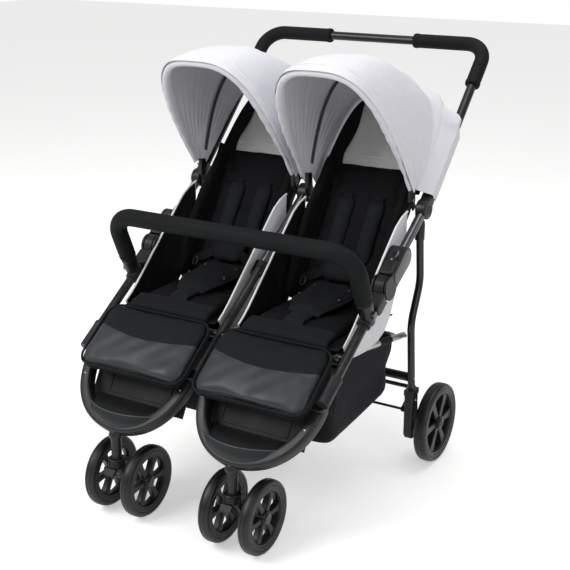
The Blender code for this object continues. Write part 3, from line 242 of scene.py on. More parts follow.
class Effects:
    """Shader node groups that several finishes share, each built once."""

    made: dict[str, bpy.types.NodeTree] = {}

    @classmethod
    def group(cls, name: str, inputs: dict[str, float], outputs: Sequence[str]) -> tuple[Nodes, dict, dict, bool]:
        """Start a group, or find it again.

        Args:
            name: the group's name.
            inputs: input name to its default; Place is added as a vector.
            outputs: names of the value outputs.

        Returns:
            Writer, input sockets, output sockets, and whether the group is new.
        """
        if name in cls.made:
            return Nodes(cls.made[name]), {}, {}, False
        tree = bpy.data.node_groups.new(name, "ShaderNodeTree")
        tree.interface.new_socket("Place", in_out="INPUT", socket_type="NodeSocketVector")
        for key, value in inputs.items():
            tree.interface.new_socket(key, in_out="INPUT", socket_type="NodeSocketFloat").default_value = value
        for key in outputs:
            tree.interface.new_socket(key, in_out="OUTPUT", socket_type="NodeSocketFloat")
        entry = tree.nodes.new("NodeGroupInput")
        leave = tree.nodes.new("NodeGroupOutput")
        cls.made[name] = tree
        return Nodes(tree), dict(entry.outputs.items()), dict(leave.inputs.items()), True

    @classmethod
    def weave(cls) -> bpy.types.NodeTree:
        """Return the woven cloth group: Place and Threads give Height and Slub."""
        pen, inputs, outputs, new = cls.group("cloth weave", {"Threads": 900.0, "Slub": 1.0}, ("Height", "Slub"))
        if new:
            scaled = pen.add(
                "ShaderNodeVectorMath", {0: inputs["Place"], 3: inputs["Threads"]}, operation="SCALE"
            ).outputs[0]
            split = pen.add("ShaderNodeSeparateXYZ", {0: scaled})
            waves = [pen.maths("SINE", split.outputs[axis]) for axis in range(3)]
            first = pen.maths("MULTIPLY", waves[0], waves[1])
            second = pen.maths("MULTIPLY", waves[1], waves[2])
            third = pen.maths("MULTIPLY", waves[2], waves[0])
            total = pen.maths("ADD", pen.maths("ADD", first, second), third)
            pen.tree.links.new(pen.maths("MULTIPLY_ADD", total, 0.25), outputs["Height"])
            lumps = pen.add("ShaderNodeTexNoise", {"Vector": inputs["Place"], "Scale": 60.0, "Detail": 5.0})
            fine = pen.add("ShaderNodeTexNoise", {"Vector": inputs["Place"], "Scale": 420.0, "Detail": 2.0})
            slub = pen.maths("ADD", pen.maths("MULTIPLY", lumps.outputs[0], 0.6),
                             pen.maths("MULTIPLY", fine.outputs[0], 0.4))
            pen.tree.links.new(pen.maths("MULTIPLY", slub, inputs["Slub"]), outputs["Slub"])
        return cls.made["cloth weave"]

    @classmethod
    def grain(cls) -> bpy.types.NodeTree:
        """Return the moulded or leather grain group: Place and Cells give Height and Patches."""
        pen, inputs, outputs, new = cls.group("surface grain", {"Cells": 500.0}, ("Height", "Patches"))
        if new:
            cells = pen.add("ShaderNodeTexVoronoi", {"Vector": inputs["Place"], "Scale": inputs["Cells"]},
                            feature="SMOOTH_F1")
            rough = pen.add("ShaderNodeTexNoise", {"Vector": inputs["Place"], "Scale": inputs["Cells"], "Detail": 3.0})
            mixed = pen.maths("ADD", pen.maths("MULTIPLY", cells.outputs[0], 0.6),
                              pen.maths("MULTIPLY", rough.outputs[0], 0.5))
            pen.tree.links.new(mixed, outputs["Height"])
            patches = pen.add("ShaderNodeTexNoise", {"Vector": inputs["Place"], "Scale": 14.0, "Detail": 4.0})
            pen.tree.links.new(pen.ramp(patches.outputs[0], 0.3, 0.7), outputs["Patches"])
        return cls.made["surface grain"]

    @classmethod
    def wear(cls) -> bpy.types.NodeTree:
        """Return the edge wear group: Place and Amount give a Mask that is high on worn edges."""
        pen, inputs, outputs, new = cls.group("edge wear", {"Amount": 0.5}, ("Mask", "Dust"))
        if new:
            shape = pen.add("ShaderNodeNewGeometry")
            edges = pen.ramp(shape.outputs["Pointiness"], 0.52, 0.62)
            breakup = pen.add("ShaderNodeTexNoise", {"Vector": inputs["Place"], "Scale": 90.0, "Detail": 6.0})
            mask = pen.maths("MULTIPLY", edges, pen.ramp(breakup.outputs[0], 0.35, 0.65))
            pen.tree.links.new(pen.maths("MULTIPLY", mask, inputs["Amount"]), outputs["Mask"])
            upward = pen.add("ShaderNodeSeparateXYZ", {0: shape.outputs["Normal"]}).outputs[2]
            drift = pen.add("ShaderNodeTexNoise", {"Vector": inputs["Place"], "Scale": 25.0, "Detail": 8.0})
            dust = pen.maths("MULTIPLY", pen.ramp(upward, 0.1, 1.0), pen.ramp(drift.outputs[0], 0.42, 0.75))
            pen.tree.links.new(pen.maths("MULTIPLY", dust, inputs["Amount"]), outputs["Dust"])
        return cls.made["edge wear"]


def start_material(name: str) -> tuple[Nodes, bpy.types.Node, bpy.types.NodeSocket, bpy.types.Material]:
    """Start a Principled material.

    Args:
        name: the material's name.

    Returns:
        Writer, Principled node, Object coordinates and the material.
    """
    material = bpy.data.materials.new(name)
    material.use_nodes = True
    pen = Nodes(material.node_tree)
    shader = material.node_tree.nodes["Principled BSDF"]
    place = pen.add("ShaderNodeTexCoord").outputs["Object"]
    return pen, shader, place, material


def use_group(pen: Nodes, tree: bpy.types.NodeTree, place: bpy.types.NodeSocket, **values: float) -> bpy.types.Node:
    """Place a shared group in a material with its own values."""
    node = pen.add("ShaderNodeGroup", node_tree=tree)
    pen.tree.links.new(place, node.inputs["Place"])
    for key, value in values.items():
        node.inputs[key].default_value = value
    return node


def rgba(colour: Colour) -> tuple[float, float, float, float]:
    """Return a colour with full alpha."""
    return (*colour, 1.0)


@dataclass(frozen=True)
class Cloth:
    """A woven fabric: threads, slubs, a little sheen, soft colour change and painted shade in the weave's hollows."""

    name: str
    colour: Colour
    shade: Colour
    roughness: float = 0.85
    threads: float = 1500.0
    depth: float = 0.0004
    sheen: float = 0.15
    sheen_colour: Colour = (0.8, 0.8, 0.85)
    specular: float = 0.12

    def build(self) -> bpy.types.Material:
        """Return the fabric's material."""
        pen, shader, place, material = start_material(self.name)
        weave = use_group(pen, Effects.weave(), place, Threads=self.threads)
        slub = pen.ramp(weave.outputs["Slub"], 0.35, 0.65)
        colour = pen.mixed(slub, rgba(self.shade), rgba(self.colour))
        # Painted shade: the colour is darkened to 0.82 of itself in the weave's hollows, where the threads dip.
        thread = pen.ramp(weave.outputs["Height"], -0.3, 0.3)
        hollow_shade = tuple(0.82 * part for part in self.colour)
        colour = pen.mixed(pen.maths("MULTIPLY", thread, 0.6), rgba(hollow_shade), colour)
        pen.tree.links.new(colour, shader.inputs["Base Color"])
        height = pen.maths("ADD", weave.outputs["Height"], weave.outputs["Slub"])
        bump = pen.add("ShaderNodeBump", {"Strength": 0.55, "Distance": self.depth, "Height": height})
        pen.tree.links.new(bump.outputs[0], shader.inputs["Normal"])
        shader.inputs["Roughness"].default_value = self.roughness
        shader.inputs["Sheen Weight"].default_value = self.sheen
        shader.inputs["Sheen Roughness"].default_value = 0.4
        shader.inputs["Sheen Tint"].default_value = rgba(self.sheen_colour)
        shader.inputs["Specular IOR Level"].default_value = self.specular
        return material


@dataclass(frozen=True)
class Moulded:
    """Moulded plastic, foam, rubber or leatherette with a fine grain, worn edges and a little dust."""

    name: str
    colour: Colour
    worn: Colour
    roughness: float = 0.45
    rough_spread: float = 0.12
    cells: float = 900.0
    depth: float = 0.0002
    wear: float = 0.5
    coat: float = 0.0
    sheen: float = 0.0
    specular: float = 0.36

    def build(self) -> bpy.types.Material:
        """Return the moulded material."""
        pen, shader, place, material = start_material(self.name)
        grain = use_group(pen, Effects.grain(), place, Cells=self.cells)
        wear = use_group(pen, Effects.wear(), place, Amount=self.wear)
        lighter = tuple(min(part * 1.6 + 0.001, 1.0) for part in self.colour)
        colour = pen.mixed(pen.maths("MULTIPLY", grain.outputs["Patches"], 0.5), rgba(self.colour), rgba(lighter))
        colour = pen.mixed(wear.outputs["Mask"], colour, rgba(self.worn))
        dusty = tuple(part + 0.010 for part in self.colour)
        colour = pen.mixed(pen.maths("MULTIPLY", wear.outputs["Dust"], 0.35), colour, rgba(dusty))
        pen.tree.links.new(colour, shader.inputs["Base Color"])
        spread = pen.maths("MULTIPLY_ADD", grain.outputs["Patches"], self.rough_spread)
        spread.node.inputs[2].default_value = self.roughness
        rough = pen.maths("ADD", spread, pen.maths("MULTIPLY", wear.outputs["Dust"], 0.2))
        pen.tree.links.new(rough, shader.inputs["Roughness"])
        bump = pen.add("ShaderNodeBump", {"Strength": 0.5, "Distance": self.depth, "Height": grain.outputs["Height"]})
        pen.tree.links.new(bump.outputs[0], shader.inputs["Normal"])
        shader.inputs["Coat Weight"].default_value = self.coat
        shader.inputs["Coat Roughness"].default_value = 0.25
        shader.inputs["Specular IOR Level"].default_value = self.specular
        shader.inputs["Sheen Weight"].default_value = self.sheen
        return material


@dataclass(frozen=True)
class Metal:
    """Painted, anodised or plated metal with a fine grain and worn edges."""

    name: str
    colour: Colour
    worn: Colour
    metallic: float
    roughness: float
    wear: float = 0.4

    def build(self) -> bpy.types.Material:
        """Return the metal's material."""
        pen, shader, place, material = start_material(self.name)
        wear = use_group(pen, Effects.wear(), place, Amount=self.wear)
        lines = pen.add("ShaderNodeTexNoise", {"Vector": place, "Scale": 300.0, "Detail": 4.0}).outputs[0]
        clouds = pen.add("ShaderNodeTexNoise", {"Vector": place, "Scale": 18.0, "Detail": 3.0}).outputs[0]
        darker = tuple(part * 0.8 for part in self.colour)
        colour = pen.mixed(pen.ramp(clouds, 0.35, 0.65), rgba(darker), rgba(self.colour))
        colour = pen.mixed(wear.outputs["Mask"], colour, rgba(self.worn))
        pen.tree.links.new(colour, shader.inputs["Base Color"])
        spread = pen.maths("MULTIPLY_ADD", lines, 0.16)
        spread.node.inputs[2].default_value = self.roughness - 0.08
        pen.tree.links.new(spread, shader.inputs["Roughness"])
        bump = pen.add("ShaderNodeBump", {"Strength": 0.12, "Distance": 0.0001, "Height": lines})
        pen.tree.links.new(bump.outputs[0], shader.inputs["Normal"])
        shader.inputs["Metallic"].default_value = self.metallic
        return material


class Palette:
    """All finishes of the stroller, built on first use."""

    finishes = {
        "canopy": Cloth("canopy cloth", (0.70, 0.70, 0.745), (0.64, 0.64, 0.685), sheen=0.1, depth=0.0003),
        "curtain": Cloth("curtain cloth", (0.76, 0.76, 0.74), (0.68, 0.68, 0.66), threads=1200.0, sheen=0.05),
        "panel": Cloth("side panel cloth", (0.74, 0.74, 0.77), (0.64, 0.64, 0.67), threads=1300.0),
        "binding": Cloth("grey binding", (0.075, 0.078, 0.085), (0.055, 0.057, 0.062), threads=2200.0),
        "piping": Cloth("pale piping", (0.86, 0.86, 0.87), (0.72, 0.72, 0.73), threads=2600.0, depth=0.0006),
        "seat": Cloth("seat cloth", (0.0042, 0.0046, 0.0056), (0.0024, 0.0027, 0.0034), roughness=0.8,
                      sheen=0.04, sheen_colour=(0.25, 0.27, 0.32)),
        "calf": Cloth("calf rest cloth", (0.0085, 0.0100, 0.0112), (0.0055, 0.0066, 0.0076), roughness=0.75,
                      sheen=0.06, sheen_colour=(0.35, 0.4, 0.42)),
        "harness": Cloth("harness pad cloth", (0.0085, 0.0094, 0.0108), (0.0055, 0.0061, 0.0072), roughness=0.75,
                         sheen=0.06, sheen_colour=(0.4, 0.38, 0.45)),
        "webbing": Cloth("black webbing", (0.006, 0.006, 0.007), (0.0035, 0.0035, 0.004), threads=2600.0, depth=0.0008),
        "basket": Cloth("basket cloth", (0.0075, 0.0068, 0.0092), (0.0042, 0.0038, 0.0054), roughness=0.7,
                        threads=1000.0, depth=0.0006, sheen=0.05, sheen_colour=(0.4, 0.35, 0.45)),
        "net": Cloth("black net", (0.006, 0.006, 0.007), (0.003, 0.003, 0.0035), threads=1800.0, depth=0.001),
        "leatherette": Moulded("calf leatherette", (0.0125, 0.0152, 0.0182), (0.026, 0.027, 0.031), roughness=0.40,
                               cells=750.0, depth=0.00025, wear=0.15, sheen=0.05),
        "foam": Moulded("black foam", (0.0040, 0.0047, 0.0052), (0.011, 0.011, 0.011), roughness=0.64, cells=1400.0,
                        depth=0.0003, wear=0.2, specular=0.14),
        "plastic": Moulded("black plastic", (0.0042, 0.0048, 0.0056), (0.024, 0.024, 0.027), roughness=0.32,
                           cells=1100.0, depth=0.00012, wear=0.45, specular=0.30),
        "shell": Moulded("module plastic", (0.0058, 0.0068, 0.0078), (0.032, 0.032, 0.036), roughness=0.33,
                         cells=1300.0, depth=0.00010, wear=0.4, specular=0.32),
        "dull": Moulded("dull black plastic", (0.0045, 0.0050, 0.0056), (0.02, 0.02, 0.02), roughness=0.55,
                        cells=800.0, depth=0.0002, wear=0.35),
        "gloss": Moulded("glossy black plastic", (0.0060, 0.0062, 0.0070), (0.03, 0.03, 0.03), roughness=0.16,
                         rough_spread=0.06, cells=1400.0, depth=0.00005, wear=0.4, coat=0.4),
        "tyre": Moulded("foam tyre", (0.0034, 0.0038, 0.0042), (0.018, 0.018, 0.018), roughness=0.34, cells=500.0,
                        depth=0.0003, wear=0.5),
        # Painted highlight: a lighter plastic for thin lines laid along edges, standing in for the highlights on them.
        "edge": Moulded("painted highlight edge", (0.034, 0.037, 0.041), (0.06, 0.06, 0.065), roughness=0.24, cells=1500.0,
                        depth=0.00005, wear=0.2),
        "paint": Metal("satin black paint", (0.0070, 0.0076, 0.0084), (0.05, 0.05, 0.05), 0.30, 0.30),
        "bright": Metal("dark bright tube", (0.115, 0.12, 0.13), (0.34, 0.34, 0.35), 0.95, 0.22),
        "silver": Metal("silver grey tube", (0.42, 0.42, 0.43), (0.65, 0.65, 0.65), 0.9, 0.34),
        "steel": Metal("small steel parts", (0.62, 0.62, 0.63), (0.8, 0.8, 0.8), 1.0, 0.22),
    }
    built: dict[str, bpy.types.Material] = {}

    @classmethod
    def get(cls, name: str) -> bpy.types.Material:
        """Return a finish's material, made once."""
        if name not in cls.built:
            cls.built[name] = cls.finishes[name].build()
        return cls.built[name]


def finish_object(name: str, shape: bmesh.types.BMesh, finish: str, sharp: float = 40.0) -> bpy.types.Object:
    """Turn a bmesh into a piece with a finish, its faces outwards.

    Args:
        name: the piece's name.
        shape: the mesh, which is freed.
        finish: name of the finish.
        sharp: edges above this angle in degrees stay sharp.

    Returns:
        The new object.
    """
    bmesh.ops.recalc_face_normals(shape, faces=shape.faces)
    mesh = bpy.data.meshes.new(name)
    shape.to_mesh(mesh)
    shape.free()
    mesh.shade_smooth()
    mesh.set_sharp_from_angle(angle=math.radians(sharp))
    mesh.materials.append(Palette.get(finish))
    item = bpy.data.objects.new(name, mesh)
    item["finish"] = finish
    bpy.context.scene.collection.objects.link(item)
    return item


def bake(item: bpy.types.Object) -> bpy.types.Object:
    """Apply every modifier of a piece by taking its evaluated mesh."""
    bpy.context.view_layer.update()
    graph = bpy.context.evaluated_depsgraph_get()
    mesh = bpy.data.meshes.new_from_object(item.evaluated_get(graph))
    item.modifiers.clear()
    item.data = mesh
    return item


def subdivide(item: bpy.types.Object) -> bpy.types.Object:
    """Smooth a piece with one applied level of Subdivision Surface."""
    modifier = item.modifiers.new("smooth", "SUBSURF")
    modifier.levels = modifier.render_levels = 1
    return bake(item)


def fuse(name: str, items: Sequence[bpy.types.Object]) -> bpy.types.Object:
    """Join pieces into one mesh that keeps each piece's finish.

    Args:
        name: the joined piece's name.
        items: the pieces; the first gives the finish recorded on the joined piece.

    Returns:
        The joined object.
    """
    shape = bmesh.new()
    materials: list[bpy.types.Material] = []
    for item in items:
        offset = []
        for material in item.data.materials:
            if material not in materials:
                materials.append(material)
            offset.append(materials.index(material))
        start = len(shape.faces)
        shape.from_mesh(item.data)
        shape.faces.ensure_lookup_table()
        for face in shape.faces[start:]:
            face.material_index = offset[min(face.material_index, len(offset) - 1)]
    mesh = bpy.data.meshes.new(name)
    shape.to_mesh(mesh)
    shape.free()
    for material in materials:
        mesh.materials.append(material)
    joined = bpy.data.objects.new(name, mesh)
    joined["finish"] = items[0]["finish"]
    for item in items:
        bpy.data.objects.remove(item, do_unlink=True)
    bpy.context.scene.collection.objects.link(joined)
    return joined


def put(item: bpy.types.Object, body: str | Body, *nodes: str) -> bpy.types.Object:
    """Hang a piece on its body and hide the nodes that it replaces.

    Args:
        item: the piece.
        body: the body that it rides on.
        nodes: CAD nodes that it stands for.

    Returns:
        The piece.
    """
    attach(item, body.value if isinstance(body, Body) else body)
    if nodes:
        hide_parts(*nodes)
    LOG.info("%s rides on %s", item.name, body)
    return item


def assemble(name: str, items: Sequence[bpy.types.Object], body: str | Body, *nodes: str) -> bpy.types.Object:
    """Join pieces into one and hang it on its body, in the place of CAD nodes."""
    return put(fuse(name, items), body, *nodes)


def bridge(shape: bmesh.types.BMesh, low: Sequence[bmesh.types.BMVert], high: Sequence[bmesh.types.BMVert]) -> None:
    """Join two closed rings of vertices with faces."""
    count = len(low)
    for i in range(count):
        j = (i + 1) % count
        shape.faces.new((low[i], low[j], high[j], high[i]))


def close_layers(shape: bmesh.types.BMesh, layers: Sequence[Sequence[list[bmesh.types.BMVert]]]) -> None:
    """Face two grids of vertices and join them round their rims."""
    for layer in layers:
        for low, high in zip(layer, layer[1:]):
            for i in range(len(low) - 1):
                shape.faces.new((low[i], low[i + 1], high[i + 1], high[i]))
    bridge(shape, *(layer[0] + [row[-1] for row in layer[1:]] + layer[-1][-2::-1] + [row[0] for row in layer[-2:0:-1]]
                    for layer in layers))


def cloth_shell(name: str, across: int, along: int, surface: Surface, thickness: float, finish: str,
                flip: bool = False) -> bpy.types.Object:
    """Build a closed thin shell from one surface, thickened square to itself.

    Args:
        name: the piece's name.
        across: faces along u.
        along: faces along v.
        surface: function of u and v, both 0 to 1, that returns a point.
        thickness: shell thickness in metres.
        finish: name of the finish.
        flip: thicken to the other side.

    Returns:
        The new object.
    """
    rows = [[surface(i / across, j / along) for i in range(across + 1)] for j in range(along + 1)]
    shape = bmesh.new()
    layers = []
    side = -1.0 if flip else 1.0
    for depth in (0.0, thickness * side):
        layer = []
        for j, row in enumerate(rows):
            line = []
            for i, point in enumerate(row):
                right = row[min(i + 1, across)] - row[max(i - 1, 0)]
                up = rows[min(j + 1, along)][i] - rows[max(j - 1, 0)][i]
                normal = right.cross(up)
                normal = normal.normalized() if normal.length > 1e-12 else Vector((0.0, 0.0, 0.0))
                line.append(shape.verts.new(point - normal * depth))
            layer.append(line)
        layers.append(layer)
    close_layers(shape, layers)
    return finish_object(name, shape, finish, 50.0)


def closed_slab(name: str, across: int, along: int, front: Surface, back: Surface, finish: str,
                sharp: float = 60.0) -> bpy.types.Object:
    """Build a closed pad from its front and back surfaces."""
    shape = bmesh.new()
    close_layers(shape, [[[shape.verts.new(surface(i / across, j / along)) for i in range(across + 1)]
                          for j in range(along + 1)] for surface in (front, back)])
    return finish_object(name, shape, finish, sharp)


def ring_section(radius: float, sides: int) -> list[tuple[float, float]]:
    """Return a round section for a sweep."""
    return [(radius * math.cos(math.tau * i / sides), radius * math.sin(math.tau * i / sides)) for i in range(sides)]


def soft_section(half_width: float, half_height: float, power: float, sides: int) -> list[tuple[float, float]]:
    """Return an oval section for a sweep, squarer as its power falls."""
    return [(half_width * bent(math.cos(math.tau * i / sides), power),
             half_height * bent(math.sin(math.tau * i / sides), power)) for i in range(sides)]


def grooved_section(radius: float, grooves: int, depth: float, sides: int) -> list[tuple[float, float]]:
    """Return the section of a tube with lengthwise grooves."""
    points = []
    for i in range(sides):
        angle = math.tau * i / sides
        wave = max(math.cos(angle * grooves), 0.0) ** 6
        reach = radius - depth * wave
        points.append((reach * math.cos(angle), reach * math.sin(angle)))
    return points


def strap_section(width: float, thick: float) -> list[tuple[float, float]]:
    """Return a flat section with soft corners for a strap or a binding."""
    half, lift, corner = width / 2, thick / 2, thick * 0.35
    return [(-half, -lift + corner), (-half + corner, -lift), (half - corner, -lift), (half, -lift + corner),
            (half, lift - corner), (half - corner, lift), (-half + corner, lift), (-half, lift - corner)]


def sweep(name: str, path: Iterable[Vector], section: Sequence[tuple[float, float]], finish: str,
          scale: Callable[[float], float] | None = None, closed: bool = False, up: Vector | None = None,
          ups: Sequence[Vector] | None = None, sharp: float = 40.0) -> bpy.types.Object:
    """Sweep a section along a path, with closed ends.

    Args:
        name: the piece's name.
        path: points of the middle line.
        section: (side, up) points of the section.
        finish: name of the finish.
        scale: size of the section as a function of the part of the way along.
        closed: join the last ring to the first.
        up: direction that the section's second axis keeps near; without it the frame turns least.
        ups: one such direction for each point.
        sharp: edges above this angle in degrees stay sharp.

    Returns:
        The new object.
    """
    points = [Vector(point) for point in path]
    last = len(points) - 1
    shape = bmesh.new()
    rings = []
    side = None
    for i, point in enumerate(points):
        if closed:
            ahead, behind = points[(i + 1) % len(points)], points[i - 1]
        else:
            ahead, behind = points[min(i + 1, last)], points[max(i - 1, 0)]
        forward = (ahead - behind).normalized()
        guide = ups[i] if ups else up
        if guide is not None:
            side = forward.cross(guide).normalized()
        elif side is None:
            side = forward.orthogonal().normalized()
        else:
            side = (side - forward * side.dot(forward)).normalized()
        above = side.cross(forward).normalized()
        size = scale(i / last) if scale else 1.0
        rings.append([shape.verts.new(point + (side * a + above * b) * size) for a, b in section])
    pairs = list(zip(rings, rings[1:]))
    if closed:
        pairs.append((rings[-1], rings[0]))
    for low, high in pairs:
        bridge(shape, low, high)
    if not closed:
        shape.faces.new(rings[0])
        shape.faces.new(rings[-1])
    return finish_object(name, shape, finish, sharp)


def rounded(points: Sequence[Sequence[float]], radius: float, steps: int = 10) -> list[Vector]:
    """Return the corners of a path with each inner corner made an arc."""
    corners = [Vector(point) for point in points]
    path = [corners[0]]
    for before, corner, after in zip(corners, corners[1:], corners[2:]):
        inward = (before - corner).normalized()
        outward = (after - corner).normalized()
        half = inward.angle(outward) / 2
        cut = min(radius / math.tan(half), 0.49 * (before - corner).length, 0.49 * (after - corner).length)
        bend = cut * math.tan(half)
        centre = corner + (inward + outward).normalized() * (bend / math.sin(half))
        first = corner + inward * cut - centre
        final = corner + outward * cut - centre
        turn = first.angle(final)
        for step in range(steps + 1):
            part = step / steps
            arc = (first * math.sin((1 - part) * turn) + final * math.sin(part * turn)) / math.sin(turn)
            path.append(centre + arc)
    path.append(corners[-1])
    return path


def evenly(path: Sequence[Vector], step: float) -> list[Vector]:
    """Return a path cut into short equal steps."""
    result = [Vector(path[0])]
    for start, end in zip(path, path[1:]):
        count = max(int((end - start).length / step), 1)
        for i in range(1, count + 1):
            result.append(Vector(start).lerp(Vector(end), i / count))
    return result


def spaced(path: Sequence[Vector], gap: float) -> list[Vector]:
    """Return a path without the points that lie too near the one before."""
    kept = [path[0]]
    for point in path[1:]:
        if (point - kept[-1]).length > gap:
            kept.append(point)
    return kept


def lathe(name: str, profile: Sequence[tuple[float, float]], place: Sequence[float], finish: str,
          segments: int = 48, axis: Vector = Vector((1.0, 0.0, 0.0))) -> bpy.types.Object:
    """Turn an (along, radius) profile round an axis; its ends are closed where their radius is nil.

    Args:
        name: the piece's name.
        profile: points along the axis with their radius.
        place: centre of the turning.
        finish: name of the finish.
        segments: steps round.
        axis: direction of the axis.

    Returns:
        The new object.
    """
    turn = UP.rotation_difference(Vector(axis).normalized()).to_matrix()
    centre = Vector(place)
    shape = bmesh.new()
    rings = []
    for along, radius in profile:
        around = ring_section(radius, segments) if radius > 1e-6 else [(0.0, 0.0)]
        rings.append([shape.verts.new(centre + turn @ Vector((a, b, along))) for a, b in around])
    loop = list(zip(rings, rings[1:]))
    if len(rings[0]) > 1 and len(rings[-1]) > 1:
        loop.append((rings[-1], rings[0]))
    for low, high in loop:
        for i in range(segments):
            j = (i + 1) % segments
            corners = [low[i % len(low)], low[j % len(low)], high[j % len(high)], high[i % len(high)]]
            unique = list(dict.fromkeys(corners))
            if len(unique) > 2:
                shape.faces.new(unique)
    return finish_object(name, shape, finish, 35.0)


def plate(name: str, outline: Sequence[tuple[float, float]], one_x: float, other_x: float, finish: str,
          bevel: float = 0.0) -> bpy.types.Object:
    """Extrude a (y, z) outline along X, with its rims rounded."""
    low_x, high_x = sorted((one_x, other_x))
    shape = bmesh.new()
    face = shape.faces.new([shape.verts.new((low_x, y, z)) for y, z in outline])
    pushed = bmesh.ops.extrude_face_region(shape, geom=[face])
    moved = [part for part in pushed["geom"] if isinstance(part, bmesh.types.BMVert)]
    bmesh.ops.translate(shape, vec=(high_x - low_x, 0.0, 0.0), verts=moved)
    bmesh.ops.recalc_face_normals(shape, faces=shape.faces)
    if bevel:
        rims = [edge for edge in shape.edges if abs(edge.verts[0].co.x - edge.verts[1].co.x) < 1e-6]
        bmesh.ops.bevel(shape, geom=rims, offset=bevel, segments=3, profile=0.6, affect="EDGES")
    return finish_object(name, shape, finish)


def box(name: str, low: Sequence[float], high: Sequence[float], finish: str, bevel: float = 0.001,
        turn: Matrix | None = None) -> bpy.types.Object:
    """Build a box with rounded edges, turned by a matrix after it is made."""
    shape = bmesh.new()
    bmesh.ops.create_cube(shape, size=1.0)
    size = Vector(high) - Vector(low)
    bmesh.ops.scale(shape, vec=size, verts=shape.verts)
    bmesh.ops.translate(shape, vec=(Vector(low) + Vector(high)) / 2, verts=shape.verts)
    bmesh.ops.bevel(shape, geom=shape.edges[:], offset=bevel, segments=3, profile=0.6, affect="EDGES")
    if turn is not None:
        bmesh.ops.transform(shape, matrix=turn, verts=shape.verts)
    return finish_object(name, shape, finish)


def arc(centre: tuple[float, float], radius: float, start: float, end: float, steps: int) -> list[tuple[float, float]]:
    """Return points on an arc in the side view, both ends included."""
    return [(centre[0] + radius * math.cos(start + (end - start) * i / steps),
             centre[1] + radius * math.sin(start + (end - start) * i / steps)) for i in range(steps + 1)]


def swell(item: bpy.types.Object, cap: float, pressure: float = 4.0, frames: int = 8) -> bpy.types.Object:
    """Fill a pad with air in a short cloth simulation and keep the result.

    Args:
        item: the pad, a closed mesh.
        cap: farthest that a point may move.
        pressure: how hard the pad is filled.
        frames: length of the simulation.

    Returns:
        The pad, swollen and subdivided once.
    """
    start = [vertex.co.copy() for vertex in item.data.vertices]
    cloth = item.modifiers.new("swell", "CLOTH")
    cloth.settings.quality = 3
    cloth.settings.mass = 0.3
    cloth.settings.bending_stiffness = 1.5
    cloth.settings.use_pressure = True
    cloth.settings.uniform_pressure_force = pressure
    cloth.settings.effector_weights.gravity = 0.0
    cloth.collision_settings.use_collision = False
    scene = bpy.context.scene
    for number in range(1, frames + 1):
        scene.frame_set(number)
    graph = bpy.context.evaluated_depsgraph_get()
    moved = [vertex.co.copy() for vertex in item.evaluated_get(graph).data.vertices]
    item.modifiers.clear()
    for vertex, before, after in zip(item.data.vertices, start, moved):
        shift = after - before
        if shift.length > cap:
            shift *= cap / shift.length
        vertex.co = before + shift
    scene.frame_set(1)
    LOG.info("swelled %s: %d points", item.name, len(start))
    shape = bmesh.new()
    shape.from_mesh(item.data)
    bmesh.ops.smooth_vert(shape, verts=shape.verts, factor=0.5, use_axis_x=True, use_axis_y=True, use_axis_z=True)
    shape.to_mesh(item.data)
    shape.free()
    return subdivide(item)


def normals_of(item: bpy.types.Object) -> list[Vector]:
    """Return copies of a mesh's vertex normals, read in one go because a moved vertex makes them stale."""
    return [vertex.normal.copy() for vertex in item.data.vertices]


def sew(item: bpy.types.Object, lines: Sequence[Sequence[Vector]], width: float, depth: float) -> None:
    """Press seams or channels into a pad.

    Args:
        item: the pad.
        lines: each seam as points on the pad.
        width: half width of a channel.
        depth: how deep it goes.
    """
    points = [point for line in lines for point in evenly(line, 0.002)]
    tree = kdtree.KDTree(len(points))
    for i, point in enumerate(points):
        tree.insert(point, i)
    tree.balance()
    for vertex, normal in zip(item.data.vertices, normals_of(item)):
        _, _, distance = tree.find(vertex.co)
        if distance < width * 2.5:
            vertex.co -= normal * depth * math.exp(-((distance / width) ** 2))


def rumple(item: bpy.types.Object, scale: float, depth: float, seed: float,
           stretch: Sequence[float] = (1.0, 1.0, 1.0)) -> None:
    """Give a cloth surface soft folds with noise that is stretched along a direction."""
    for vertex, normal in zip(item.data.vertices, normals_of(item)):
        place = Vector((vertex.co.x * stretch[0], vertex.co.y * stretch[1], vertex.co.z * stretch[2]))
        value = crease(place, scale, seed) + 0.5 * crease(place, scale * 2.3, seed + 9.0)
        vertex.co += normal * value * depth


def smooth_faces(item: bpy.types.Object, sharp: float) -> bpy.types.Object:
    """Shade a mesh smooth, apart from its sharp edges."""
    item.data.shade_smooth()
    item.data.set_sharp_from_angle(angle=math.radians(sharp))
    return item


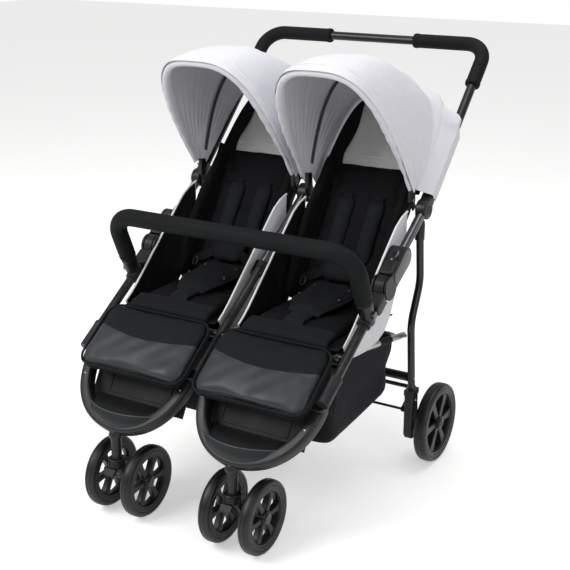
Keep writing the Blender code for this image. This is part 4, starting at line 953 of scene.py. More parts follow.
class Studio:
    """Camera at the photograph's angle, pale floor and soft light."""

    focal: float = 1123.5416
    picture: float = 570.0
    sensor: float = 36.0
    place = Vector((1.413, -2.2981, 1.3755))
    yaw: float = math.radians(31.2444)
    pitch: float = math.radians(-18.4202)

    def camera(self) -> None:
        """Add the camera and make it the scene's."""
        data = bpy.data.cameras.new("camera")
        data.sensor_width = self.sensor
        data.lens = self.sensor * self.focal / self.picture
        data.clip_end = 50.0
        item = bpy.data.objects.new("camera", data)
        forward = Vector((-math.sin(self.yaw) * math.cos(self.pitch), math.cos(self.yaw) * math.cos(self.pitch),
                          math.sin(self.pitch)))
        right = forward.cross(UP).normalized()
        up = right.cross(forward)
        turn = Matrix((right, up, -forward)).transposed().to_4x4()
        item.matrix_world = Matrix.Translation(self.place) @ turn
        bpy.context.scene.collection.objects.link(item)
        bpy.context.scene.camera = item

    def floor(self) -> None:
        """Add the pale floor, which keeps the stroller's soft shadow."""
        mesh = bpy.data.meshes.new("studio_floor")
        reach = 12.0
        mesh.from_pydata([(-reach, -reach, 0.0), (reach, -reach, 0.0), (reach, reach, 0.0), (-reach, reach, 0.0)],
                         [], [(0, 1, 2, 3)])
        material = bpy.data.materials.new("floor paper")
        material.use_nodes = True
        pen = Nodes(material.node_tree)
        shader = material.node_tree.nodes["Principled BSDF"]
        shader.inputs["Base Color"].default_value = (0.80, 0.80, 0.79, 1.0)
        shader.inputs["Roughness"].default_value = 0.75
        rays = pen.add("ShaderNodeLightPath")
        glow = pen.add("ShaderNodeEmission", {"Color": (1.0, 1.0, 1.0, 1.0), "Strength": 0.42})
        seen = pen.maths("MAXIMUM", rays.outputs["Is Camera Ray"], rays.outputs["Is Glossy Ray"])
        dark = pen.add("ShaderNodeEmission", {"Strength": 0.0})
        share = pen.add("ShaderNodeMixShader", {0: seen, 1: dark.outputs[0], 2: glow.outputs[0]})
        total = pen.add("ShaderNodeAddShader", {0: shader.outputs[0], 1: share.outputs[0]})
        pen.tree.links.new(total.outputs[0], material.node_tree.nodes["Material Output"].inputs["Surface"])
        mesh.materials.append(material)
        item = bpy.data.objects.new("studio_floor", mesh)
        bpy.context.scene.collection.objects.link(item)

    def lamp(self, name: str, place: Sequence[float], size: float, power: float) -> None:
        """Add a square lamp that points at the stroller."""
        data = bpy.data.lights.new(name, "AREA")
        data.size = size
        data.energy = power
        item = bpy.data.objects.new(name, data)
        item.location = place
        item.rotation_euler = (Vector((0.0, 0.0, 0.5)) - Vector(place)).to_track_quat("-Z", "Y").to_euler()
        bpy.context.scene.collection.objects.link(item)

    def light(self) -> None:
        """Add the lamps and the white surroundings."""
        world = bpy.data.worlds.new("studio")
        bpy.context.scene.world = world
        world.use_nodes = True
        pen = Nodes(world.node_tree)
        rays = pen.add("ShaderNodeLightPath")
        back = world.node_tree.nodes["Background"]
        back.inputs["Color"].default_value = (1.0, 1.0, 1.0, 1.0)
        level = pen.maths("MULTIPLY_ADD", rays.outputs["Is Camera Ray"], 0.50)
        level.node.inputs[2].default_value = 0.50
        pen.tree.links.new(level, back.inputs["Strength"])
        self.lamp("key", (-1.6, -2.6, 3.0), 2.0, 98.0)
        self.lamp("fill", (2.8, -1.6, 1.8), 1.4, 22.0)
        self.lamp("top", (0.3, 0.5, 3.4), 2.2, 46.0)
        bpy.context.scene.view_settings.view_transform = "Standard"


@dataclass
class Canopy(Sided):
    """One canopy: padded front rim, front and middle cloth, rear hood, curtain and side net."""

    pivot: tuple[float, float] = (0.113, 0.713)
    half: float = 0.156
    radius: float = 0.320
    peak: float = 0.404
    rear: float = 0.336
    level: float = math.radians(75.0)
    step: float = 0.005
    power: float = 3.2
    hood_power: float = 5.0
    start: float = 0.030
    front_span: tuple[float, float] = (math.radians(97.0), math.radians(126.0))
    middle_span: tuple[float, float] = (math.radians(70.0), math.radians(98.0))
    hood_front: float = math.radians(71.0)
    hood_flat: float = math.radians(50.0)
    wrap: float = 0.0395
    rest: float = 0.0125
    hem: float = 0.130
    curtain_half: float = 0.116
    cloth: float = 0.0012

    def ridge(self, angle: float) -> float:
        """Return the height of the ridge over the hubs at an angle round them."""
        if angle > self.level:
            part = (angle - self.level) / (self.front_span[1] - self.level)
            return self.radius + (self.peak - self.radius) * max(part, 0.0) ** 1.3
        part = max((self.hood_flat - angle) / (self.hood_flat - PLAN.handle_pitch), 0.0)
        return self.radius + (self.rear - self.radius) * part

    def arch(self, u: float, half: float, radius: float, power: float) -> tuple[float, float]:
        """Return (x, reach) on an arch; u runs from one hub over the top to the other."""
        angle = math.pi * (0.5 - 0.5 * math.cos(math.pi * u)) * 0.35 + math.pi * u * 0.65
        x = -half * bent(math.cos(angle), 2 / power)
        reach = radius * abs(math.sin(angle)) ** (2 / power)
        return x, max(reach, self.start)

    def spin(self, x: float, reach: float, angle: float) -> Vector:
        """Return the point at a distance and an angle round the hubs."""
        return Vector((self.centre + x, self.pivot[0] + reach * math.cos(angle),
                       self.pivot[1] + reach * math.sin(angle)))

    def on_cloth(self, u: float, angle: float, inset: float, layer_power: float | None = None) -> Vector:
        """Return a point of the canopy's cloth with its folds."""
        x, reach = self.arch(u, self.half - inset, self.ridge(angle) - inset, layer_power or self.power)
        point = self.spin(x, reach, angle)
        low = 1.0 - smooth(0.05, 0.30, min(u, 1.0 - u))
        gather = low * 0.0016 * math.sin(angle * 64.0 + self.sign) * smooth(0.03, 0.10, reach)
        fold = 0.0016 * crease(point, 9.0, 3.0 + self.sign) + 0.0008 * crease(point, 26.0, 7.0)
        outward = Vector((x * 1.6, (point.y - self.pivot[0]), (point.z - self.pivot[1]))).normalized()
        return point + outward * (gather + fold)

    def front_cloth(self) -> bpy.types.Object:
        """Return the front panel from the rim to the first seam."""
        rear, front = self.front_span

        def surface(u: float, v: float) -> Vector:
            angle = front + (rear - front) * v
            sag = 0.004 * math.sin(math.pi * v) * math.sin(math.pi * u)
            return self.on_cloth(u, angle, 0.0032 * smooth(0.45, 1.0, v) + sag)

        return cloth_shell(f"canopy_front_cloth_{self.side}", 96, 24, surface, self.cloth, "canopy", flip=True)

    def rim_path(self, angle: float, inset: float) -> tuple[list[Vector], list[Vector]]:
        """Return points and outward directions along an arch."""
        path, outward, steps = [], [], 96
        for i in range(steps + 1):
            u = 0.012 + 0.976 * i / steps
            x, reach = self.arch(u, self.half - inset, self.ridge(angle) - inset, self.power)
            path.append(self.spin(x, reach, angle))
        for i, point in enumerate(path):
            ahead = path[min(i + 1, steps)] - path[max(i - 1, 0)]
            around = Vector((0.0, -math.sin(angle), math.cos(angle)))
            outward.append(around.cross(ahead).normalized())
        return path, outward

    def rim(self) -> bpy.types.Object:
        """Return the fat padded front rim with gathers at its sides."""
        angle = self.front_span[1] - math.radians(2.0)
        path, outward = self.rim_path(angle, 0.0085)

        def scale(part: float) -> float:
            return 0.38 + 0.62 * smooth(0.0, 0.17, min(part, 1.0 - part))

        piece = sweep(f"canopy_rim_{self.side}", path, soft_section(0.0155, 0.0095, 0.8, 28), "canopy", scale,
                      ups=outward, sharp=80.0)
        centre = Vector((self.centre, *self.pivot))
        for vertex, normal in zip(piece.data.vertices, normals_of(piece)):
            reach = (vertex.co - centre).length
            side = abs(vertex.co.x - self.centre) / self.half
            pull = smooth(0.55, 1.0, side) * smooth(0.05, 0.12, reach)
            wave = math.sin(reach * 210.0 + 2.0 * crease(vertex.co, 14.0, 2.0))
            vertex.co += normal * (0.0011 * pull * wave + 0.0009 * crease(vertex.co, 22.0, 5.0))
        return piece

    def arch_strip(self, name: str, angle: float, inset: float, width: float, thick: float,
                   finish: str, start: float = 0.02) -> bpy.types.Object:
        """Return a flat strip of binding or a seam cord along an arch."""
        path, outward = self.rim_path(angle, inset)
        first = int(len(path) * start)
        kept = slice(first, len(path) - first)
        section = strap_section(width, thick) if width > thick * 1.5 else ring_section(width / 2, 10)
        return sweep(name, path[kept], section, finish, ups=outward[kept])

    def middle_cloth(self) -> bpy.types.Object:
        """Return the middle panel."""
        rear, front = self.middle_span

        def surface(u: float, v: float) -> Vector:
            angle = front + (rear - front) * v
            sag = 0.003 * math.sin(math.pi * v) * math.sin(math.pi * u)
            return self.on_cloth(u, angle, self.step + 0.0032 * smooth(0.4, 1.0, v) + sag)

        return cloth_shell(f"canopy_middle_cloth_{self.side}", 96, 20, surface, self.cloth, "canopy", flip=True)

    def lowered(self, x: float, reach: float, drop: float) -> Vector:
        """Return a point in the handle's plane at a reach, dropped square to the handle."""
        point = self.spin(x, reach, PLAN.handle_pitch)
        return point + Vector((0.0, math.sin(PLAN.handle_pitch), -math.cos(PLAN.handle_pitch))) * drop

    def hood(self) -> bpy.types.Object:
        """Return the rear hood, which lies over the handle tube and hangs down outside it."""
        inset = 2 * self.step
        half = self.half - inset
        wall = PLAN.side_x + 0.0135 + 0.0022 - PLAN.seat_x
        share = 0.62

        def surface(u: float, v: float) -> Vector:
            if v < share:
                part = v / share
                angle = self.hood_front + (PLAN.handle_pitch - self.hood_front) * part
                rise = max((self.hood_flat - angle) / (self.hood_flat - PLAN.handle_pitch), 0.0)
                power = self.power + (self.hood_power - self.power) * smooth(0.0, 1.0, rise)
                sag = 0.003 * math.sin(math.pi * part) * math.sin(math.pi * u)
                return self.on_cloth(u, angle, inset + sag, power)
            part = (v - share) / (1 - share)
            x, reach = self.arch(u, half, self.rear - inset, self.hood_power)
            spread = abs(x) / half
            drop = self.wrap
            if x * self.sign > 0:
                over = smooth(0.80, 0.88, spread) * (1 - smooth(0.955, 0.975, spread))
                drop = self.wrap + (self.rest - self.wrap) * over
                x += (self.sign * wall - x) * smooth(0.86, 0.945, spread) * min(part * 3.0, 1.0)
            point = self.lowered(x, reach, drop * part)
            fold = 0.0012 * crease(point, 16.0, 4.0 + self.sign) * part
            return point + Vector((self.sign * fold if abs(spread) > 0.9 else 0.0, 0.0, fold))

        return cloth_shell(f"canopy_hood_cloth_{self.side}", 110, 44, surface, self.cloth, "canopy", flip=True)

    def under_hood(self, part: float) -> float:
        """Return the other part of the way on the hood's arch, where one part is given."""
        return (1 - min(part, 0.999) ** self.hood_power) ** (1 / self.hood_power)

    def curtain(self) -> bpy.types.Object:
        """Return the hanging rear curtain with soft folds and a beaded hem."""
        inset = 2 * self.step + 0.002

        def surface(u: float, v: float) -> Vector:
            bow = 0.010 * math.sin(math.pi * v) * (2 * u - 1)
            x = self.curtain_half * (2 * u - 1) - bow
            top = (self.rear - inset) * self.under_hood(abs(x) / (self.half - inset))
            low = self.hem - 0.031
            reach = low + (top - low) * v
            slack = math.sin(math.pi * min(v * 1.3, 1.0))
            fold = 0.0036 * math.sin(u * 15.0 + 5.0 * v + self.sign) * slack
            fold += 0.0050 * crease(Vector((x * 1.8, v * 0.20, 0.0)), 9.0, 11.0 + self.sign) * slack
            return self.lowered(x, reach, self.wrap - 0.006 + fold)

        return cloth_shell(f"curtain_cloth_{self.side}", 60, 40, surface, self.cloth, "curtain", flip=True)

    def nets(self) -> bpy.types.Object:
        """Return the black side nets between the hood's sides and the curtain."""
        inset = 2 * self.step + 0.0045
        pieces = []
        for name, edge in (("a", -1.0), ("b", 1.0)):
            def surface(u: float, v: float, edge: float = edge) -> Vector:
                reach = 0.035 + 0.262 * v
                arch_x = (self.half - inset) * self.under_hood(reach / (self.rear - inset))
                inner = self.curtain_half - 0.012 - 0.010 * math.sin(math.pi * smooth(0.3, 1.0, v))
                inner -= 0.020 * (1 - smooth(0.0, 0.42, v))
                x = edge * (inner + (arch_x - inner) * u)
                return self.lowered(x, reach, self.wrap - 0.010)

            pieces.append(cloth_shell(f"net_{name}", 8, 24, surface, 0.0008, "net"))
        return fuse(f"side_nets_{self.side}", pieces)

    def trims(self) -> bpy.types.Object:
        """Return the curtain's bindings, hem beads, window strap and its pale tab."""
        inset = 2 * self.step + 0.002
        pieces = []
        back = Vector((0.0, -1.0, 1.0))
        for edge in (-1.0, 1.0):
            path = []
            for i in range(31):
                v = i / 30 * 0.93
                x = edge * (self.curtain_half - 0.010 * math.sin(math.pi * v))
                path.append(self.lowered(x, self.hem + (0.305 - self.hem) * v, self.wrap - 0.0075))
            pieces.append(sweep("edge", path, strap_section(0.007, 0.0022), "binding", up=back))
        hem = [self.lowered(self.curtain_half * (2 * i / 40 - 1), self.hem + 0.001, self.wrap - 0.006
                            + 0.0006 * math.sin(i * 1.9)) for i in range(41)]
        pieces.append(sweep("hem", hem, ring_section(0.0021, 10), "curtain"))
        top = self.rear - inset - 0.022
        strap = [self.lowered(0.055 * (2 * i / 12 - 1), top - 0.004 * (2 * i / 12 - 1) ** 2, self.wrap - 0.0095)
                 for i in range(13)]
        pieces.append(sweep("window_strap", strap, strap_section(0.017, 0.003), "webbing", up=back))
        tab = [self.lowered(-0.062 + 0.004 * i, top - 0.006 - 0.004 * i, self.wrap - 0.0115) for i in range(5)]
        pieces.append(sweep("tab", tab, strap_section(0.006, 0.0014), "piping", up=back))
        return fuse(f"curtain_trims_{self.side}", pieces)

    def hubs(self) -> bpy.types.Object:
        """Return the small black plates in which the canopy's bows meet."""
        pieces = []
        for edge in (-1.0, 1.0):
            x = self.centre + edge * (self.half - 0.012)
            outline = arc(self.pivot, 0.0125, math.radians(-170), math.radians(10), 12)
            outline += [(self.pivot[0] + 0.008, self.pivot[1] + 0.034), (self.pivot[0] - 0.012, self.pivot[1] + 0.036)]
            pieces.append(plate("hub_plate", outline, x - edge * 0.006, x + edge * 0.004, "plastic", 0.0015))
            pieces.append(lathe("hub_screw", [(0.0, 0.0), (0.0, 0.0042), (0.0012, 0.0042), (0.0020, 0.0028),
                                              (0.0014, 0.0)], (x + edge * 0.004, *self.pivot), "steel", 16,
                                Vector((edge, 0.0, 0.0))))
            foot = PLAN.on_handle(x, -0.004, 0.004)
            pieces.append(sweep("hub_link", [Vector((x, *self.pivot)), foot], strap_section(0.018, 0.005), "plastic",
                                up=Vector((1.0, 0.0, 0.0))))
        return fuse(f"canopy_hubs_{self.side}", pieces)

    def build(self) -> None:
        """Build the canopy and hang it on its bodies."""
        front_body = f"canopy_front_{self.side}"
        middle_body = f"canopy_middle_{self.side}"
        front = put(self.front_cloth(), front_body, f"canopy_front_{self.side}")
        rim = put(self.rim(), front_body)
        seam_angle = self.front_span[1] - math.radians(5.4)
        seam = self.arch_strip(f"rim_seam_{self.side}", seam_angle, 0.0007, 0.0020, 0.0024, "curtain")
        inner = self.arch_strip(f"rim_binding_{self.side}", seam_angle, 0.0035, 0.0030, 0.0030, "binding")
        assemble(f"rim_seams_{self.side}", [seam, inner], front_body)
        middle = put(self.middle_cloth(), middle_body, f"canopy_middle_{self.side}")
        bow = self.arch_strip(f"bow_binding_{self.side}", math.radians(74.5), self.step + 0.0082, 0.011, 0.0022,
                              "binding", 0.03)
        put(bow, middle_body)
        hood = put(self.hood(), Body.UPPER, f"canopy_hood_{self.side}")
        edge = self.arch_strip(f"hood_seam_{self.side}", self.hood_front - math.radians(1.0), 2 * self.step - 0.0004,
                               0.0022, 0.0022, "canopy")
        put(edge, Body.UPPER)
        curtain = put(self.curtain(), Body.UPPER)
        net = put(self.nets(), Body.UPPER)
        put(self.trims(), Body.UPPER)
        put(self.hubs(), Body.UPPER)


@dataclass
class CalfRest(Sided):
    """Padded calf rest: matt cloth above a curved seam and leatherette below it, piped all round."""

    half: float = 0.151
    length: float = 0.178
    thick: float = 0.026
    pitch: float = math.radians(36.0)
    corner: float = 0.036
    rise: float = 0.012

    @property
    def upward(self) -> Vector:
        """Return the direction square to the board."""
        return Vector((0.0, -math.sin(self.pitch), math.cos(self.pitch)))

    def place(self, across: float, along: float, height: float) -> Vector:
        """Return a point from the part across (-1 to 1), the distance along and the height above the board."""
        near = min(along, self.length - along)
        trim = 0.0
        if near < self.corner:
            trim = self.corner - math.sqrt(max(self.corner ** 2 - (self.corner - near) ** 2, 0.0))
        forward = 0.008 - along
        cross = PLAN.cross
        y = cross[0] + forward * math.cos(self.pitch) - height * math.sin(self.pitch)
        z = cross[1] + forward * math.sin(self.pitch) + height * math.cos(self.pitch)
        return Vector((self.centre + across * (self.half - trim * 0.9), y, z))

    def seam_at(self, across: float) -> float:
        """Return how far along the curved seam lies at a place across."""
        return self.length * (0.36 + 0.15 * (1 - across ** 2) + 0.02 * across)

    def pad(self) -> bpy.types.Object:
        """Return the swollen pad with its two cloths."""
        def reach(across: float, v: float) -> float:
            seam, share, start = self.seam_at(across), 9 / 22, 0.015 * self.length
            if v < share:
                return start + (seam - start) * v / share
            return seam + (self.length * 0.985 - seam) * (v - share) / (1 - share)

        def front(u: float, v: float) -> Vector:
            across = 2 * u - 1
            along = reach(across, v)
            crown = (1 - abs(across) ** 4) * (1 - abs(2 * along / self.length - 1) ** 4)
            wave = 0.003 * math.sin(across * 4.2 + self.sign) * v ** 3
            return self.place(across * 0.97, along, self.rise + 0.003 + self.thick * (0.50 + 0.30 * crown) + wave)

        def back(u: float, v: float) -> Vector:
            return self.place((2 * u - 1) * 0.97, reach(2 * u - 1, v), self.rise + 0.002)

        pad = swell(closed_slab(f"calf_pad_{self.side}", 30, 22, front, back, "calf"), cap=0.006)
        seam = [self.place(-0.97 + 1.94 * i / 40, self.seam_at(-0.97 + 1.94 * i / 40),
                           self.rise + self.thick * 0.95) for i in range(41)]
        sew(pad, [seam], 0.0035, 0.0032)
        rumple(pad, 20.0, 0.0016, 3.0 + 4.0 * self.sign, (1.0, 0.45, 0.45))
        self.folds(pad)
        self.split(pad)
        return smooth_faces(pad, 70.0)

    def measure(self, point: Vector) -> tuple[float, float]:
        """Return (across, along) of a point of the pad."""
        cross = PLAN.cross
        forward = (point.y - cross[0]) * math.cos(self.pitch) + (point.z - cross[1]) * math.sin(self.pitch)
        return (point.x - self.centre) / self.half, 0.008 - forward

    def folds(self, pad: bpy.types.Object) -> None:
        """Press long soft folds into the leatherette and pull marks into the cloth."""
        for vertex, normal in zip(pad.data.vertices, normals_of(pad)):
            across, along = self.measure(vertex.co)
            low = smooth(0.55, 0.95, along / self.length)
            wave = math.sin(across * 7.0 + 5.0 * along / self.length + self.sign) * low * 0.0022
            pull = math.sin((across * 0.8 + along / self.length) * 19.0) * 0.0007 * (1 - low)
            vertex.co += normal * (wave + pull) * max(normal.dot(self.upward), 0.0)

    def split(self, pad: bpy.types.Object) -> None:
        """Give the faces below the curved seam the leatherette."""
        pad.data.materials.append(Palette.get("leatherette"))
        for polygon in pad.data.polygons:
            across, along = self.measure(polygon.center)
            if along > self.seam_at(max(min(across, 1.0), -1.0)):
                polygon.material_index = 1

    def edge_path(self, height: float, grow: float) -> list[Vector]:
        """Return the outline of the pad at a height."""
        path = []
        for way in (1.0, -1.0):
            end = self.length * (1 + way) / 2
            path += [self.place(way, self.length - end + way * self.length * i / 40, height) for i in range(41)]
            path += [self.place(way * (1 - 2 * i / 30), end, height) for i in range(1, 30)]
        centre = self.place(0.0, self.length / 2, height)
        return [point + (point - centre).normalized() * grow for point in spaced(path, 0.0012)]

    def piping(self) -> bpy.types.Object:
        """Return the piping round the pad's edge and the webbing band round its foot."""
        edge = sweep("edge_piping", self.edge_path(self.rise + self.thick * 0.50, -0.0004), ring_section(0.0030, 12),
                     "calf", closed=True)
        band = sweep("edge_band", self.edge_path(self.rise + 0.003, -0.0045), strap_section(0.011, 0.006), "webbing",
                     closed=True, up=self.upward)
        return fuse(f"calf_piping_{self.side}", [edge, band])

    def build(self) -> None:
        """Build the calf rest and hang it on its body."""
        pad = put(self.pad(), f"calf_rest_{self.side}", f"calf_rest_{self.side}")
        put(self.piping(), f"calf_rest_{self.side}")
        bars = []
        for edge in (-0.62, 0.62):
            path = [self.place(edge, 0.006, 0.004), self.place(edge, self.length * 0.5, 0.005),
                    self.place(edge, self.length * 0.93, 0.006)]
            bars.append(sweep("hinge_bar", path, strap_section(0.016, 0.008), "plastic", up=self.upward))

        def face(height: float) -> Surface:
            return lambda u, v: self.place((2 * u - 1) * 0.93, self.length * (0.04 + 0.9 * v), height)

        board = closed_slab("board", 12, 8, face(0.0105), face(0.0135), "dull")
        assemble(f"calf_board_{self.side}", [board, *bars], f"calf_rest_{self.side}")


@dataclass
class Seat(Sided):
    """One seat: cushion, backrest with tall padded sides, and the harness."""

    half: float = 0.118
    front_y: float = -0.214
    rear_y: float = 0.012
    thick: float = 0.030
    back: tuple[float, float] = (0.018, 0.456)
    lean: float = math.radians(34.0)
    back_length: float = 0.352
    back_thick: float = 0.022
    wing_depth: float = 0.075
    wing_wall: float = 0.014
    wing_half: float = 0.127

    def on_back(self, x: float, forward: float, up: float) -> Vector:
        """Return a point of the backrest: from its middle, in front of its back and up it."""
        return Vector((self.centre + x,
                       self.back[0] + up * math.sin(self.lean) - forward * math.cos(self.lean),
                       self.back[1] + up * math.cos(self.lean) + forward * math.sin(self.lean)))

    def cushion(self) -> bpy.types.Object:
        """Return the seat cushion with its cross channels."""
        def top(u: float, v: float) -> Vector:
            across, along = 2 * u - 1, 2 * v - 1
            edge = (1 - abs(across) ** 4) * (1 - abs(along) ** 6)
            y = self.front_y + 0.004 + (self.rear_y - self.front_y) * v
            return Vector((self.centre + across * (self.half - 0.004) * (1 - 0.03 * abs(along) ** 3), y,
                           PLAN.seat_base + 0.003 + (self.thick - 0.006) * (0.5 + 0.5 * edge ** 0.6)
                           + 0.020 * smooth(0.80, 1.0, v)))

        def bottom(u: float, v: float) -> Vector:
            point = top(u, v)
            return Vector((point.x, point.y, PLAN.seat_base + 0.001))

        pad = swell(closed_slab(f"seat_pad_{self.side}", 24, 24, top, bottom, "seat"), cap=0.005)
        spans = [2 * i / 30 - 1 for i in range(31)]
        lines = [[Vector((self.centre + self.half * part * 0.9, y - 0.012 * (1 - part ** 2),
                          PLAN.seat_base + self.thick)) for part in spans] for y in (-0.150, -0.095, -0.045)]
        sew(pad, lines, 0.005, 0.0045)
        rumple(pad, 24.0, 0.0013, 14.0 + self.sign)
        return smooth_faces(pad, 70.0)

    def backrest(self) -> bpy.types.Object:
        """Return the backrest: a padded panel between tall side walls with upright folds."""
        turn = 0.30

        def shell(u: float, v: float, inset: float) -> tuple[float, float, float]:
            across = 2 * u - 1
            flat = min(abs(across) / (1 - turn), 1.0)
            wing = max(abs(across) - (1 - turn), 0.0) / turn
            x = math.copysign(1.0, across) * flat * (self.wing_half - 0.003 - inset)
            depth = (self.wing_depth + 0.012) * (0.72 + 0.28 * math.sin(math.pi * min(v * 1.15, 1.0)))
            up = -0.022 + v * (self.back_length + 0.031)
            return x, inset + wing * (depth - inset), up

        def back(u: float, v: float) -> Vector:
            x, forward, up = shell(u, v, 0.0)
            return self.on_back(x, forward + 0.002, up)

        def front(u: float, v: float) -> Vector:
            x, forward, up = shell(u, v, self.wing_wall - 0.003)
            across = abs(2 * u - 1)
            lift = 0.006 * max(1 - (across / 0.65) ** 4, 0.0) + (self.back_thick - self.wing_wall) * (across < 1 - turn)
            return self.on_back(x, forward + lift, up)

        pad = swell(closed_slab(f"back_pad_{self.side}", 44, 36, front, back, "seat"), cap=0.006)
        face = self.back_thick + 0.006
        lines = []
        for up, dip in ((0.070, 0.0), (0.125, 0.006), (0.185, 0.008), (0.262, 0.012)):
            lines.append([self.on_back(0.098 * (2 * i / 30 - 1), face, up + dip * (1 - (2 * i / 30 - 1) ** 2))
                          for i in range(31)])
        for edge in (-1.0, 1.0):
            lines.append([self.on_back(edge * (0.094 - 0.010 * math.sin(math.pi * i / 30)), face - 0.002,
                                       0.262 + 0.08 * i / 30) for i in range(31)])
            lines.append([self.on_back(edge * 0.104, face - 0.001, 0.02 + 0.23 * i / 30) for i in range(31)])
        sew(pad, lines, 0.0045, 0.0042)
        for vertex, normal in zip(pad.data.vertices, normals_of(pad)):
            local = abs(vertex.co.x - self.centre)
            if local > 0.100:
                lengthwise = math.sin(self.measure_forward(vertex.co) * 260.0 + 9.0 * crease(vertex.co, 6.0, 1.0))
                vertex.co += normal * 0.0013 * lengthwise * smooth(0.100, 0.112, local)
        rumple(pad, 18.0, 0.0017, 24.0 + self.sign * 2.0)
        return smooth_faces(pad, 70.0)

    def measure_forward(self, point: Vector) -> float:
        """Return how far in front of the backrest's back a point lies."""
        offset = (point.y - self.back[0], point.z - self.back[1])
        return -offset[0] * math.cos(self.lean) + offset[1] * math.sin(self.lean)

    def pad_on_back(self, name: str, left: float, right: float, low: float, high: float, forward: float,
                    thick: float, tilt: float = 0.0) -> bpy.types.Object:
        """Return a soft pad that lies on the backrest.

        Args:
            name: the pad's name.
            left: lower x from the seat's middle.
            right: upper x.
            low: where it starts up the backrest.
            high: where it ends.
            forward: height of its underside in front of the back.
            thick: its thickness.
            tilt: how much further forward its lower end stands.

        Returns:
            The pad.
        """
        middle, half = (left + right) / 2, (right - left) / 2

        def corner(u: float, v: float) -> tuple[float, float, float]:
            along = v * (high - low)
            near = min(along, high - low - along)
            reach = min(half * 0.75, (high - low) / 2)
            trim = reach - math.sqrt(max(reach ** 2 - (reach - near) ** 2, 0.0)) if near < reach else 0.0
            return middle + (2 * u - 1) * max(half - trim * 0.55, 0.002), low + along, tilt * (1 - v)

        def front(u: float, v: float) -> Vector:
            x, up, more = corner(u, v)
            crown = (1 - abs(2 * u - 1) ** 3) * (1 - abs(2 * v - 1) ** 5)
            ripple = 0.0012 * math.sin(v * 23.0) * crown
            return self.on_back(x, forward + more + thick * (0.35 + 0.65 * crown) + ripple, up)

        def under(u: float, v: float) -> Vector:
            x, up, more = corner(u, v)
            return self.on_back(x, forward + more, up)

        pad = subdivide(closed_slab(name, 14, 20, front, under, "harness", 80.0))
        rumple(pad, 40.0, 0.0010, 31.0 + middle * 100)
        return smooth_faces(pad, 80.0)

    def harness(self) -> bpy.types.Object:
        """Return the harness: shoulder pads, belly pad, webbing, loops and snaps."""
        face = self.back_thick + 0.010
        facing = self.on_back(0, 1, 0) - self.on_back(0, 0, 0)
        pieces = [
            self.pad_on_back("belly_pad", -0.047, 0.047, 0.040, 0.128, face + 0.002, 0.016, tilt=0.010),
            self.pad_on_back("shoulder_a", -0.064, -0.020, 0.095, 0.262, face, 0.012),
            self.pad_on_back("shoulder_b", 0.020, 0.064, 0.095, 0.262, face, 0.012),
        ]
        for edge in (-1.0, 1.0):
            path = [self.on_back(edge * 0.042, face + 0.004, 0.255), self.on_back(edge * 0.044, face - 0.002, 0.275),
                    self.on_back(edge * 0.045, face - 0.010, 0.288)]
            pieces.append(sweep("shoulder_web", path, strap_section(0.025, 0.0018), "webbing", up=facing))
            waist = [self.on_back(edge * 0.038, face + 0.016, 0.062), self.on_back(edge * 0.066, face + 0.006, 0.050),
                     self.on_back(edge * 0.092, face + 0.004, 0.038), self.on_back(edge * 0.106, face + 0.006, 0.030)]
            pieces.append(sweep("waist_web", evenly(waist, 0.006), strap_section(0.024, 0.0018), "webbing", up=facing))
            loop = [self.on_back(edge * 0.090 + 0.007 * math.cos(math.tau * i / 20) * edge, face + 0.014,
                                 0.026 + 0.011 * math.sin(math.tau * i / 20)) for i in range(20)]
            pieces.append(sweep("adjuster", loop, ring_section(0.0012, 8), "shell", closed=True))
            pieces.append(lathe("snap", [(-0.002, 0.0), (-0.002, 0.0026), (0.0008, 0.0024), (0.0012, 0.0012),
                                         (0.0010, 0.0)], self.on_back(edge * 0.036, face + 0.0172, 0.108), "silver",
                                16, facing))
        return fuse(f"harness_set_{self.side}", pieces)

    def bib_point(self, across: float, along: float, lift: float) -> Vector:
        """Return a point of the bib over the cushion: across in metres, along from the front, 0 to 1."""
        y = -0.158 + 0.168 * along
        arch = 0.012 * math.sin(math.pi * min(along * 1.05, 1.0)) + 0.020 * smooth(0.62, 1.0, along)
        droop = 0.10 * across ** 2 / 0.02
        return Vector((self.centre + across, y, PLAN.seat_base + self.thick + 0.005 + arch - droop * 0.04 + lift))

    def bib(self) -> bpy.types.Object:
        """Return the large rounded bib with its bound edge and snaps, and the pad over the seat's front edge."""
        def corner(u: float, v: float) -> float:
            half = 0.040 + 0.023 * smooth(0.0, 0.42, v)
            near = (1 - v) * 0.168
            round_off = 0.036
            if near < round_off:
                half -= round_off - math.sqrt(max(round_off ** 2 - (round_off - near) ** 2, 0.0))
            return (2 * u - 1) * half

        def top(u: float, v: float) -> Vector:
            crown = (1 - abs(2 * u - 1) ** 4) * (1 - abs(2 * v - 1) ** 8)
            folds = 0.0016 * math.sin(u * 9.0 + v * 14.0 + self.sign) * crown
            return self.bib_point(corner(u, v), v, 0.006 + 0.011 * crown + folds)

        pad = subdivide(closed_slab("bib_pad", 20, 26, top, lambda u, v: self.bib_point(corner(u, v), v, 0.0),
                                    "harness", 80.0))
        rumple(pad, 30.0, 0.0014, 61.0 + self.sign)
        edge = [self.bib_point(corner(0.0, i / 30), i / 30, 0.004) for i in range(31)]
        edge += [self.bib_point(corner(i / 12, 1.0), 1.0, 0.004) for i in range(1, 12)]
        edge += [self.bib_point(corner(1.0, 1 - i / 30), 1 - i / 30, 0.004) for i in range(31)]
        binding = sweep("bib_binding", spaced(edge, 0.0015), ring_section(0.0024, 10), "webbing")

        def strap(u: float, v: float, lift: float) -> Vector:
            y = -0.217 + 0.085 * v
            low = 0.020 * (1 - smooth(0.0, 0.22, v))
            return Vector((self.centre + (2 * u - 1) * (0.026 + 0.004 * v), y,
                           PLAN.seat_base + self.thick + 0.004 + lift - low + 0.004 * v))

